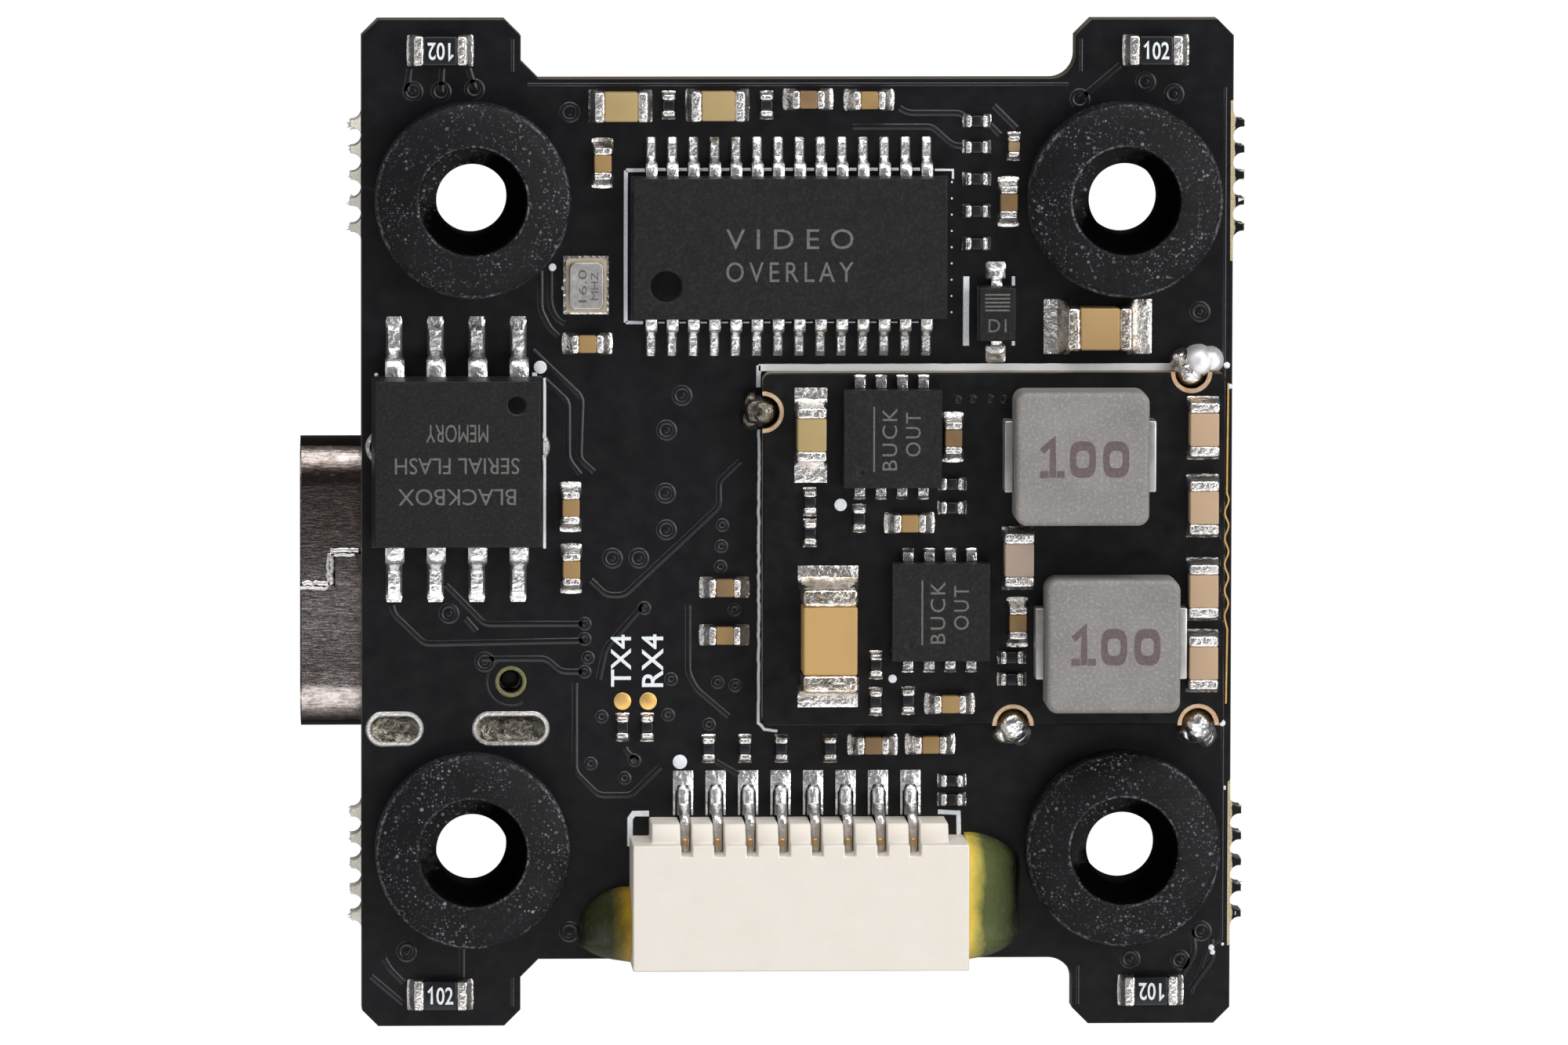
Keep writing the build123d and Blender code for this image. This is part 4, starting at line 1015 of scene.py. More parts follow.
def package_bodies():
    soften("osd_chip_body", 0.04, PAINT["epoxy"])
    soften("flash_chip_body", 0.05, PAINT["epoxy"])
    soften("processor_body", 0.05, PAINT["epoxy"])
    soften("regulator_body", 0.04, PAINT["epoxy"])
    soften("diode_body", 0.04, PAINT["epoxy"])
    soften("bec_converter_bodies", 0.02, PAINT["epoxy"])
    soften("gyro_body", 0.02, PAINT["epoxy"])


def converter_terminals():
    shape = Shape()
    seed = 9.0
    for low, high in islands("bec_converter_terminals"):
        seed += 0.41
        bodies = islands("bec_converter_bodies")
        centre = (low + high) / 2
        nearest = min(bodies, key=lambda box: ((box[0] + box[1]) / 2 - centre).length)
        side = 1 if centre.y > (nearest[0].y + nearest[1].y) / 2 else -1
        rounded_box(shape, low, high, 0.03, rough=0.01, seed=seed)
        solder_wedge(shape, low, high, 1, side, 0.12, 0.02, 0.9, seed)
    make_piece("converter_terminals", shape, [PAINT["solder"]], ["bec_converter_terminals"], sharp=50)


# ---------------------------------------------------------------- inductors, crystals, sensors, lamps


def inductors():
    soften("bec_inductor_cores", 0.17, PAINT["core"], segments=4)
    shape = Shape()
    seed = 20.0
    for low, high in islands("bec_inductor_terminals"):
        seed += 0.7
        rounded_box(shape, low, high, 0.05, rough=0.012, seed=seed)
    make_piece("inductor_terminals", shape, [PAINT["lid"]], ["bec_inductor_terminals"])


def crystals_and_sensors():
    soften("crystal_bases", 0.02, PAINT["package"])
    soften("crystal_lids", 0.045, PAINT["lid"], segments=3)
    soften("barometer_base", 0.02, PAINT["package"])
    soften("barometer_lid", 0.05, PAINT["lid"], segments=3)
    soften("status_led_bases", 0.02, PAINT["package"])
    soften("status_led_lenses", 0.04, PAINT["lens"], segments=3)
    shape = Shape()
    for low, high in islands("crystal_bases"):
        floor, up = base_height(low, high)
        wide = 0.07 if up > 0 else 0.1
        rows = []
        n = 10
        for i in range(n + 1):
            row = []
            for j in range(n + 1):
                u, v = -1 + 2 * i / n, -1 + 2 * j / n
                x = (low.x + high.x) / 2 + u * ((high.x - low.x) / 2 + wide)
                y = (low.y + high.y) / 2 + v * ((high.y - low.y) / 2 + wide)
                lift = 0.05 if max(abs(u), abs(v)) < 0.99 else 0.012
                row.append((x, y, floor + up * (lift + wobble((x, y, 5.0), 0.2, 0.02))))
            rows.append(row)
        grid_solid(shape, rows, floor - up * 0.01)
    make_piece("crystal_solder", shape, [PAINT["solder"]], sharp=50)


# ---------------------------------------------------------------- harness socket and glue


PIN_TIP_Y = -8.14


def socket():
    soften("esc_socket_housing", 0.06, PAINT["ivory"], segments=2, angle=40)
    shape = Shape()
    seed = 30.0
    for low, high in islands("esc_socket_contacts"):
        seed += 0.53
        x = (low.x + high.x) / 2
        pin = high.x - low.x
        blade = high.z - pin / 2
        back = -8.95
        corners = [(x, low.y, blade), (x, back - 0.02, blade), (x, back + 0.22, pin * 0.8), (x, PIN_TIP_Y - 0.1, pin * 0.78), (x, PIN_TIP_Y, pin * 0.5)]
        path = smooth_path(corners, 0.16, 6)
        spot = Vector((x, -9.68, high.z + 0.01))
        rounded_box(shape, spot - Vector((0.07, 0.1, 0.06)), spot + Vector((0.07, 0.1, 0.02)), 0.03, 2)
        widths = [pin * (1.25 if p.y > back + 0.1 else 1.0) for p in path]
        widths[-1] = pin * 0.7
        sweep(shape, path, widths, pin * 0.96, (1, 0, 0))
        socket_pad(shape, x, seed)
        # a near-black outline round each pin on its pad: a painted dark reflection along the pin's edges
        around = [(-0.215, -9.0), (-0.215, -8.3), (-0.13, PIN_TIP_Y + 0.06), (0.13, PIN_TIP_Y + 0.06), (0.215, -8.3), (0.215, -9.0)]
        ribbon(shape, [(x + dx, y) for dx, y in around], 0.035, 0.02, 0.10, 1, ease=0.02)
    make_piece("socket_pins", shape, [PAINT["tin"], PAINT["polish"], PAINT["gold"]], ["esc_socket_contacts"], sharp=40)
    tabs = Shape()
    for low, high in islands("esc_socket_tabs"):
        side = 1 if low.x > 0 else -1
        foot_low = Vector((low.x, low.y, 0.0))
        foot_high = Vector((high.x, high.y, 0.2))
        rounded_box(tabs, foot_low, foot_high, 0.04)
        inner = low.x if side > 0 else high.x - 0.3
        rounded_box(tabs, Vector((inner, low.y, 0.0)), Vector((inner + 0.3, high.y, high.z)), 0.05)
    make_piece("socket_tabs", tabs, [PAINT["tin"]], ["esc_socket_tabs"])


def socket_pad(shape, x, seed):
    """The tinned pad under one contact's tail, with solder drawn up its sides."""
    low_y, high_y, half = -9.0, -7.62, 0.31
    rows = []
    for i in range(17):
        y = low_y + (high_y - low_y) * i / 16
        row = []
        for j in range(11):
            v = -1 + j / 5
            aside = max(0.0, abs(v) * half - 0.15)
            beyond = max(0.0, y + 7.9)
            lift = 0.03 + 0.05 * math.exp(-math.hypot(aside / 0.03, beyond / 0.06))
            lift += 0.05 * max(0.0, abs(v) - 0.55) * max(0.0, 1 - beyond / 0.1)
            lift += wobble((x + v * half, y, seed), 0.13, 0.03, seed)
            if i in (0, 16) or j in (0, 10):
                lift = 0.012
            row.append((x + v * half, y, max(0.01, lift)))
        rows.append(row)
    grid_solid(shape, rows, -0.01)


# Beads of glue: inner x, outer x, low y, high y, height, and how square the plan is at its low and high ends.
GLUE_BEADS = ((-5.15, -6.72, -13.46, -11.2, 2.2, 0.3, 0.5), (5.15, 6.85, -13.42, -9.55, 2.35, 0.22, 0.22))


def glue():
    shape = Shape()
    for inner, outer, low_y, high_y, tall, low_round, high_round in GLUE_BEADS:
        reach = outer - inner
        rows = []
        n, m = 36, 20
        for i in range(n + 1):
            v = (1 - math.cos(math.pi * i / n)) / 2
            y = low_y + (high_y - low_y) * v
            ends = math.sqrt(math.sin(min(1.0, v / low_round) * math.pi / 2))
            ends *= math.sin(min(1.0, (1 - v) / high_round) * math.pi / 2) ** 0.6
            row = []
            for j in range(m + 1):
                u = j / m
                x = inner + reach * u * (0.12 + 0.88 * ends) * (1 + wobble((y, 0.0, inner), 1.4, 0.06))
                crown = math.sqrt(1 - u * u) * 0.6 + (1 - u) ** 2.2 * 0.4
                z = tall * crown * (0.25 + 0.75 * ends)
                z *= 1 + wobble((x, y, 1.0), 1.3, 0.12)
                if j == m:
                    z = 0.0
                row.append((x, y, max(0.0, z)))
            rows.append(row)
        grid_solid(shape, rows, -0.004)
    make_piece("socket_glue", shape, [PAINT["glue"]], ["socket_adhesive"], sharp=85)


# ---------------------------------------------------------------- USB receptacle


def usb():
    soften("usb_c_shell", 0.05, PAINT["shell"], segments=2, angle=40)
    soften("usb_c_tongue", 0.05, PAINT["moulding"], segments=2, angle=40)
    soften("usb_c_contacts", 0.012, PAINT["gold"], segments=1)
    seam_lips()
    solder_in_slots()


# The folded seam of the shell as seen from above, where it is not under the board.
SEAM_PATH = ((-15.12, -1.93), (-14.26, -1.93), (-14.26, -0.91), (-13.45, -0.91))


def seam_lips():
    """Ragged bright lips along the shell's seam."""
    shape = Shape()
    for shift, width in ((0.0, 0.09), (-0.14, 0.05)):
        path = [(x + shift * 0.9, y + shift) for x, y in SEAM_PATH]
        ribbon(shape, ragged(path, 0.06, 0.07), width, -BOARD - 0.02, -BOARD + 0.03, ease=0.03)
    make_piece("seam_lips", shape, [PAINT["rim"]], sharp=60)


def ragged(path, step, amount):
    """Extra points along a path of (x, y), each nudged sideways."""
    out = []
    for (x0, y0), (x1, y1) in zip(path, path[1:]):
        count = max(1, round(math.hypot(x1 - x0, y1 - y0) / step))
        for k in range(count):
            x, y = x0 + (x1 - x0) * k / count, y0 + (y1 - y0) * k / count
            out.append((x + wobble((x, y, 1.0), 0.13, amount), y + wobble((x, y, 7.0), 0.13, amount)))
    return out + [path[-1]]


# Plated slots beside the receptacle: centre x and length, at both sides of its centre line.
SLOTS = ((-12.37, 1.5), (-8.8, 2.1))
SLOT_WIDTH = 0.8
SLOT_SIDES = (-1.97 - 4.345, -1.97 + 4.345)
PEG_HOLES = ((-8.8, -1.97 - 2.89), (-8.8, -1.97 + 2.89))


def slot_ring(shape, x, y, length, inner, outer, low, high, paint):
    """A raised ring around a slot with round ends."""
    straight = (length - SLOT_WIDTH) / 2
    segments = 40
    ease = 0.03
    middle = (low + high) / 2
    levels = ((outer + ease, low), (outer, middle), (outer - ease, high), (inner + ease, high), (inner, middle), (inner - 0.01, low))
    rings = [[] for _ in levels]
    for k in range(segments):
        turn = 2 * math.pi * k / segments
        shift = straight if math.cos(turn) > 0 else -straight
        for ring_points, (radius, z) in zip(rings, levels):
            ring_points.append((x + shift + radius * math.cos(turn), y + radius * math.sin(turn), z))
    loft(shape, rings + [rings[0]], paint, closed_ends=False)


def solder_in_slots():
    fill = Shape()
    seed = 40.0
    for y in SLOT_SIDES:
        for x, length in SLOTS:
            seed += 0.9
            rows = []
            n, m = 20, 10
            for i in range(n + 1):
                u = -1 + 2 * i / n
                bound = (length - SLOT_WIDTH) / 2 + SLOT_WIDTH / 2
                px = x + u * (bound - 0.005)
                over = max(0.0, abs(px - x) - (length - SLOT_WIDTH) / 2)
                half = math.sqrt(max(0.0004, (SLOT_WIDTH / 2) ** 2 - over * over)) - 0.002
                row = []
                for j in range(m + 1):
                    v = -1 + 2 * j / m
                    sag = 0.2 * (1 - v * v) * (1 - u**4)
                    row.append((px, y + v * half, -0.05 - sag + wobble((px, y + v * half, seed), 0.22, 0.09, seed)))
                rows.append(row)
            grid_solid(fill, rows, -0.6)
    make_piece("slot_solder", fill, [PAINT["dull_solder"]], ["usb_slot_solder"], sharp=60)
    rims = Shape()
    for y in SLOT_SIDES:
        for x, length in SLOTS:
            slot_ring(rims, x, y, length, SLOT_WIDTH / 2 - 0.01, SLOT_WIDTH / 2 + 0.13, -0.02, 0.06, 0)
            slot_ring(rims, x, y, length, SLOT_WIDTH / 2 - 0.01, SLOT_WIDTH / 2 + 0.13, -BOARD + 0.02, -BOARD - 0.06, 0)
    make_piece("slot_rims", rims, [PAINT["rim"]])
    olive = Shape()
    for x, y in PEG_HOLES:
        ring(olive, x, y, 0.40, 0.46, -0.01, 0.02, 0, 32)
    make_piece("peg_hole_rims", olive, [PAINT["olive"]])


# ---------------------------------------------------------------- module joints


# Half-holes of the module: x, y, and the direction out of the module.
HALF_HOLES = ((-1.1, 3.5, 180.0), (12.05, 4.7, 90.0), (6.6, -6.15, 270.0), (12.3, -6.15, 270.0))
HALF_HOLE_RADIUS = 0.5
# The wavy gold edge beside the module.
WAVE_X = 13.22
WAVE_SWING = 0.06


def arc_band(shape, x, y, inner, outer, start, stop, low, high, paint=0, steps=24):
    """A flat gold band along part of a circle. Angles are in degrees."""
    rings = []
    for k in range(steps + 1):
        turn = math.radians(start + (stop - start) * k / steps)
        c, s = math.cos(turn), math.sin(turn)
        levels = ((outer, low), (outer - 0.02, high), (inner + 0.02, high), (inner, low))
        rings.append([(x + r * c, y + r * s, z) for r, z in levels])
    loft(shape, rings, paint)


def module_joints():
    gold, lumps, dull = Shape(), Shape(), Shape()
    for x, y, outward in HALF_HOLES:
        inward = outward + 180
        arc_band(gold, x, y, HALF_HOLE_RADIUS, 0.65, inward - 92, inward + 92, MODULE - 0.01, MODULE + 0.03, 1)
        out = math.radians(outward)
        metal, paint = (dull, 0) if outward == 180.0 else (lumps, 0)
        mound(metal, x, y, 0.49, MODULE + 0.14, outward, paint, 0.5)
        mound(metal, x + 0.16 * math.cos(out), y + 0.16 * math.sin(out), 0.46, 0.98, outward + 9, paint)
        for k, (angle, size, tall) in enumerate(((-38, 0.32, 0.6), (35, 0.34, 0.66))):
            turn = math.radians(outward + angle)
            mound(metal, x + 0.4 * math.cos(turn), y + 0.4 * math.sin(turn), size, tall, outward + k * 50, paint)
    # the bright cap and spill of the upper right joint, and the drop below the lower right one
    mound(lumps, 12.3, 5.0, 0.5, MODULE + 0.25, 30.0, 1, 0.3)
    mound(lumps, 12.66, 5.02, 0.42, MODULE + 0.1, 30.0, 1, 0.3)
    mound(lumps, 12.62, -6.6, 0.3, 0.45, 10.0)
    wave = [(WAVE_X + WAVE_SWING * math.sin(2 * math.pi * k / 8), 0.9 - 0.1 * k) for k in range(40)]
    ribbon(gold, [(WAVE_X + 0.03, 4.3), *wave, (WAVE_X + 0.03, -3.3), (WAVE_X, -5.6)], 0.045, -0.01, RELIEF, ease=0.015)
    make_piece("half_hole_plating", gold, [PAINT["gold"], PAINT["plating"]], sharp=50)
    make_piece("dull_module_solder", dull, [PAINT["dull_solder"]], sharp=60)
    make_piece("module_solder", lumps, [PAINT["solder"], PAINT["bright_solder"]], ["bec_solder_joints"], sharp=60)


def mound(shape, x, y, radius, tall, seed, paint=0, lumpy=1.0):
    """A more or less lumpy drop of solder standing on the board."""
    rings = []
    segments, levels = 24, 9
    for i in range(levels + 1):
        t = i / levels
        r = radius * math.cos(t * math.pi / 2) ** 0.55 + 0.015
        z = tall * math.sin(t * math.pi / 2) ** 1.1
        points = []
        for k in range(segments):
            turn = 2 * math.pi * k / segments
            point = Vector((r * math.cos(turn), r * math.sin(turn), z))
            lump = 1 + wobble((point.x, point.y, z), 0.35, 0.2 * lumpy, seed / 17)
            bump = 0.96 + wobble((point.x, point.y, 0), 0.3, 0.12 * lumpy, seed / 9)
            points.append((x + point.x * lump, y + point.y * lump, z * bump))
        rings.append(points)
    loft(shape, rings, paint)


# ---------------------------------------------------------------- mask relief: tracks, vias and pour edge


TRACK = 0.15
TRACKS = (
    ((-7.9, 7.8), (-7.9, 6.6), (-7.6, 6.0), (-7.35, 5.78)),
    ((-7.6, 7.8), (-7.6, 6.75), (-7.4, 6.3), (-7.15, 6.16)),
    ((-8.15, 5.35), (-6.63, 3.9), (-6.7, 2.0), (-6.25, 1.6)),
    ((-7.8, 4.47), (-7.05, 3.77), (-7.05, 2.0), (-6.68, 1.52)),
    ((-6.35, -1.72), (-5.86, -2.2), (-5.32, -2.2), (-2.4, 0.53), (-2.42, 1.3), (-1.75, 1.93)),
    ((-12.45, -2.5), (-12.4, -2.75), (-11.45, -3.68), (-6.53, -3.6)),
    ((-10.8, -1.86), (-9.6, -3.08), (-6.53, -3.08)),
    ((-10.2, -2.9), (-9.85, -3.3)),
    ((-9.7, -4.15), (-7.7, -4.15), (-7.25, -4.56), (-6.53, -4.56)),
    ((-4.72, -2.5), (-5.9, -3.84), (-6.1, -4.8)),
    ((-6.83, -4.9), (-6.83, -7.65), (-6.1, -8.38), (-5.1, -8.38), (-4.2, -7.5)),
    ((-3.35, -2.5), (-3.35, -4.6), (-3.1, -5.1), (-2.1, -5.95)),
    ((-5.3, -6.9), (-5.2, -7.1), (-4.9, -7.3)),
    ((3.1, 12.78), (3.36, 12.62), (4.99, 12.62), (5.15, 12.45)),
    ((1.67, 12.2), (4.12, 12.2), (4.75, 11.62), (5.1, 11.6)),
    ((6.0, 12.85), (6.7, 12.15)),
    ((5.9, 12.25), (6.2, 11.95)),
    ((8.65, 13.05), (9.9, 14.1)),
    ((-12.7, -13.4), (-12.5, -13.75), (-12.1, -14.15)),
    ((-13.1, -13.95), (-12.1, -14.8)),
    ((-10.3, -13.1), (-10.3, -14.0)),
    ((12.2, -12.6), (12.3, -13.3), (11.9, -14.0)),
    ((12.8, -12.9), (12.85, -13.5), (12.2, -14.4)),
    ((-2.5, -7.35), (-1.8, -7.75)),
    ((-11.9, 14.0), (-12.0, 13.3)),
    ((-10.9, 14.0), (-10.95, 13.3)),
    ((-10.1, 14.0), (-9.92, 13.4)),
)
# Edges of the copper pour under the mask, just inside the outline.
POUR_EDGES = (
    ((13.12, 13.4), (13.12, -12.9), (12.7, -13.2), (12.2, -14.6)), ((8.68, 14.9), (8.68, 13.9)), ((-8.75, -14.0), (-8.75, -14.9)),
    ((-8.75, 13.9), (-8.75, 14.9)), ((8.68, -14.9), (8.68, -13.7)), ((-8.3, 13.5), (8.3, 13.5)),
)
LARGE_VIAS = (
    (-9.92, 13.37), (-11.8, 13.3), (-10.94, 13.3), (-7.0, 12.65), (10.67, 13.57), (11.54, 13.2), (8.65, 13.05),
    (-3.55, 3.95), (-4.02, 2.88), (-4.05, 0.94), (-4.02, -0.19), (-5.68, -1.06), (-4.87, -1.06), (-10.7, -2.75),
    (12.37, 6.5), (-9.6, -4.25), (-12.0, -13.2), (-7.0, -12.6), (10.3, -13.5), (11.85, -13.55), (12.5, -12.65),
)
SMALL_VIAS = (
    (-2.3, -0.05), (-2.33, -0.7), (-2.35, -1.33), (-1.93, -2.66), (-6.53, -3.08), (-6.53, -3.55), (-6.43, -4.13),
    (-6.53, -4.56), (-4.7, -2.6), (-3.87, -4.8), (-2.44, -4.9), (-1.9, -5.0), (-6.0, -5.95), (-3.96, -5.9),
    (-6.34, -7.4), (-5.3, -7.85), (-5.0, -7.3), (-2.7, -6.2),
)
MODULE_VIAS = ((4.87, 3.88), (5.33, 3.9), (5.87, 3.9), (6.3, 3.88))


def mask_relief():
    shape = Shape()
    for path in TRACKS:
        smooth = smooth_path([(x, y, 0) for x, y in path], 0.18, 3) if len(path) > 2 else path
        ribbon(shape, [(p[0], p[1]) for p in smooth], TRACK, -0.01, RELIEF)
    for path in POUR_EDGES:
        ribbon(shape, path, 0.06, -0.01, RELIEF * 0.8)
    for x, y in PEG_HOLES:
        arc_band(shape, x, y, 0.70, 0.78, 120, 300, -0.01, RELIEF * 0.7)
    for x, y in LARGE_VIAS:
        ring(shape, x, y, 0.2, 0.3, -0.01, RELIEF)
        disc(shape, x, y, 0.1, -0.01, RELIEF * 0.5, segments=14)
    for x, y in SMALL_VIAS:
        ring(shape, x, y, 0.09, 0.19, -0.01, RELIEF, segments=18)
    for x, y in MODULE_VIAS:
        ring(shape, x, y, 0.05, 0.11, MODULE - 0.01, MODULE + 0.02, segments=16)
    make_piece("mask_relief", shape, [PAINT["relief"]], sharp=60)


# ---------------------------------------------------------------- printing


def printing():
    white = Shape()
    low, high = 0.0, INK
    lines = (
        # outline of the overlay chip
        ([(-5.28, 10.87), (-5.28, 6.2)], 0.1), ([(-5.28, 10.87), (-4.7, 10.87)], 0.09), ([(-5.28, 6.2), (-4.75, 6.2)], 0.08),
        ([(4.2, 10.87), (4.75, 10.87), (4.75, 10.6)], 0.05),
        # beside the flash chip
        ([(-7.77, 4.5), (-7.77, -0.75)], 0.07), ([(-8.15, 4.6), (-8.0, 4.6)], 0.1),
        # bars of the diode
        ([(5.17, 7.6), (5.17, 5.47)], 0.17), ([(6.62, 7.6), (6.62, 5.47)], 0.08),
        # around the module
        ([(-1.2, 4.87), (-1.2, 4.2)], 0.12),
        (ragged([(-1.18, 2.9), (-1.18, -6.15), (-1.0, -6.35), (-0.6, -6.4)], 0.15, 0.03), 0.07),
        # corners of the harness socket
        ([(-5.13, -9.95), (-5.13, -9.1), (-5.02, -8.95), (-4.55, -8.95)], 0.15),
        ([(4.35, -8.92), (4.98, -8.95), (5.0, -9.8)], 0.12),
        ([(13.19, -8.14), (13.19, -8.26)], 0.06),
    )
    for path, width in lines:
        ribbon(white, path, width, low, high, ease=0.015)
    # the module's top line takes the whiter ink: painted light that offsets the shadow the module casts across it
    ribbon(white, ragged([(-1.2, 4.8), (11.7, 4.8)], 0.3, 0.012), 0.2, low, high, 1, ease=0.015)
    for k in range(13):
        x = -4.19 + 0.65 * k
        ribbon(white, [(x - 0.13, 10.89), (x + 0.13, 10.89)], 0.07, low, high, ease=0.015)
        ribbon(white, [(x - 0.1, 6.2), (x + 0.1, 6.2)], 0.03, low, high, ease=0.015)
    for k in range(9):
        y = 6.5 + 0.5 * k
        disc(white, 4.72, y, 0.035, low, high, segments=8)
    dots = (
        (-3.6, -7.35, 0.22), (-7.53, 7.9, 0.12), (-7.19, 7.26, 0.07), (-12.93, 4.6, 0.06), (-7.9, 4.83, 0.2),
        (12.8, -13.15, 0.09), (12.84, -13.3, 0.08), (13.15, -13.05, 0.05), (13.11, -6.2, 0.1), (13.2, 4.85, 0.1), (13.3, 4.2, 0.08),
    )
    for x, y, radius in dots:
        disc(white, x, y, radius, low, high, dome=0.01)
    lettering(white, "TX4", (-5.42, -4.22), (1.6, 0.62), 90, low, high, bold=0.01)
    lettering(white, "RX4", (-4.45, -4.22), (1.62, 0.66), 90, low, high, bold=0.01)
    disc(white, 1.28, 0.65, 0.19, MODULE, MODULE + INK, dome=0.01)
    disc(white, 2.89, -4.71, 0.13, MODULE, MODULE + INK, dome=0.01)
    printed_underside(white)
    make_piece("white_print", white, [PAINT["white_ink"], PAINT["line_ink_painted_light"]], sharp=60)


def printed_underside(white):
    """Pad labels on the hidden face, in generic words."""
    low, high = -BOARD - INK, -BOARD
    labels = (
        ("BOOT", (-6.2, 5.0), (1.7, 0.55), 0), ("USB", (-5.3, -3.7), (1.4, 0.5), 90),
        ("LED", (-3.4, -9.2), (1.4, 0.5), 0), ("GYRO", (11.1, 2.15), (1.7, 0.45), 0),
        ("BARO", (10.9, 5.6), (1.7, 0.45), 0),
    )
    for text, centre, size, turn in labels:
        lettering(white, text, centre, size, turn, low, high, bold=0.01, flip=True)
    names = ("5V", "G", "T1", "R1", "T2", "R2", "SDA", "SCL", "G")
    for k, text in enumerate(names):
        width = 0.36 * len(text)
        lettering(white, text, (-6 + 1.5 * k, 11.35), (width, 0.42), 0, low, high, bold=0.01, flip=True)
    names = ("VBT", "G", "M1", "M2", "M3", "M4", "T3", "R3", "CUR")
    for k, text in enumerate(names):
        width = 0.36 * len(text)
        lettering(white, text, (-6 + 1.5 * k, -11.15), (width, 0.42), 0, low, high, bold=0.01, flip=True)


RECESS_DEPTH = 0.06


def numeral_one(shape, centre, size, turn, low, high, weight, base=False):
    """A figure one with a flag and, on the inductors, a foot."""
    (cx, cy), (width, height), angle = centre, size, math.radians(turn)
    strokes = [[(0.1, -0.5), (0.1, 0.5), (-0.45, 0.22)]]
    if base:
        strokes += [[(-0.55, -0.42), (-0.11, -0.42)], [(0.31, -0.42), (0.7, -0.42)]]
    for stroke in strokes:
        path = []
        for u, v in stroke:
            x, y = u * width, v * height
            path.append((cx + x * math.cos(angle) - y * math.sin(angle), cy + x * math.sin(angle) + y * math.cos(angle)))
        ribbon(shape, path, weight, low, high, ease=0.004)


def numeral_nought(shape, x, y, width, height, low, high, weight):
    """A squarish figure nought."""
    first = len(shape.points)
    ring(shape, 0, 0, 1.0 - 2 * weight / width, 1.0, low, high, segments=40, ease=0.01)
    for k in range(first, len(shape.points)):
        px, py, pz = shape.points[k]
        reach = math.hypot(px, py)
        c, s = px / reach, py / reach
        square = 1 / (abs(c) ** 3.2 + abs(s) ** 3.2) ** (1 / 3.2)
        shape.points[k] = (x + c * square * width / 2 * reach, y + s * square * (height / 2 - weight * (1 - reach) * 0.2) * reach, pz)


def component_markings():
    grey, polish = Shape(), Shape()
    top = 1.15
    lettering(grey, "VIDEO", (-0.3, 8.83), (3.9, 0.62), 0, top - 0.01, top + 0.003, gap=1.6)
    lettering(grey, "OVERLAY", (-0.3, 7.82), (3.9, 0.62), 0, top - 0.01, top + 0.003, gap=1.35)
    disc(polish, -4.09, 7.38, 0.49, top - RECESS_DEPTH - 0.01, top - RECESS_DEPTH + 0.003, segments=32)
    top = 1.9
    lettering(grey, "MEMORY", (-10.5, 2.95), (1.9, 0.55), 180, top - 0.01, top + 0.003)
    lettering(grey, "SERIAL FLASH", (-10.5, 1.95), (3.8, 0.5), 180, top - 0.01, top + 0.003)
    lettering(grey, "BLACKBOX", (-10.5, 1.0), (3.6, 0.5), 180, top - 0.01, top + 0.003)
    disc(polish, -8.68, 3.8, 0.29, top - RECESS_DEPTH - 0.01, top - RECESS_DEPTH + 0.003, segments=24)
    top = MODULE + 0.85
    for x, y in ((2.84, 2.73), (4.33, -2.6)):
        lettering(grey, "BUCK", (x - 0.1, y), (1.9, 0.46), 90, top - 0.01, top + 0.003, gap=1.2)
        lettering(grey, "OUT", (x + 0.62, y + 0.15), (1.35, 0.46), 90, top - 0.01, top + 0.003, gap=1.2)
        ribbon(grey, [(x - 0.58, y - 1.0), (x - 0.58, y + 1.0)], 0.05, top - 0.01, top + 0.003, ease=0.005)
        disc(grey, x - 0.95, y - 1.0, 0.1, top - 0.06, top - 0.045, segments=16)
    lettering(grey, "D1", (6.08, 6.15), (0.55, 0.4), 0, 0.945, 0.954)
    for k in range(5):
        y = 6.62 + 0.12 * k
        ribbon(grey, [(5.7, y), (6.46, y)], 0.05, 0.945, 0.954, ease=0.005)
    top = -BOARD - 1.4
    lettering(grey, "PROCESSOR", (1.6, 1.2), (6.0, 0.8), 0, top - 0.003, top + 0.01, flip=True)
    lettering(grey, "32 BIT", (1.6, -0.2), (3.6, 0.8), 0, top - 0.003, top + 0.01, flip=True)
    make_piece("polished_recesses", polish, [PAINT["polish"]], sharp=60)
    make_piece("package_markings", grey, [PAINT["grey_ink"]], sharp=60)

    pale = Shape()
    top = 0.45
    for x, y, turn in ((-10.97, 14.55, 180), (10.97, 14.55, 0), (-10.97, -14.52, 0), (10.93, -14.46, 180)):
        side = 1 if turn == 0 else -1
        lettering(pale, "02", (x + side * 0.13, y), (0.52, 0.54), turn, top - 0.01, top + 0.006, bold=0.012)
        numeral_one(pale, (x - side * 0.29, y), (0.2, 0.5), turn, top - 0.01, top + 0.006, 0.075)
    make_piece("resistor_markings", pale, [PAINT["white_ink"]], sharp=60)

    dark = Shape()
    top = MODULE + 2.0
    for x, y in ((8.62, 2.2), (9.6, -3.56)):
        numeral_nought(dark, x - 0.04, y, 0.8, 1.12, top - 0.01, top + 0.004, 0.2)
        numeral_nought(dark, x + 0.98, y, 0.8, 1.12, top - 0.01, top + 0.004, 0.2)
        numeral_one(dark, (x - 1.02, y), (0.6, 1.1), 0, top - 0.01, top + 0.004, 0.21, base=True)
    make_piece("inductor_markings", dark, [PAINT["core_ink"]], sharp=60)
    lid = Shape()
    top = 0.46
    lettering(lid, "16.0", (-6.62, 7.35), (1.0, 0.26), 90, top - 0.005, top + 0.003)
    lettering(lid, "MHZ", (-6.25, 7.35), (0.85, 0.22), 90, top - 0.005, top + 0.003)
    make_piece("crystal_marking", lid, [PAINT["core_ink"]], sharp=60)


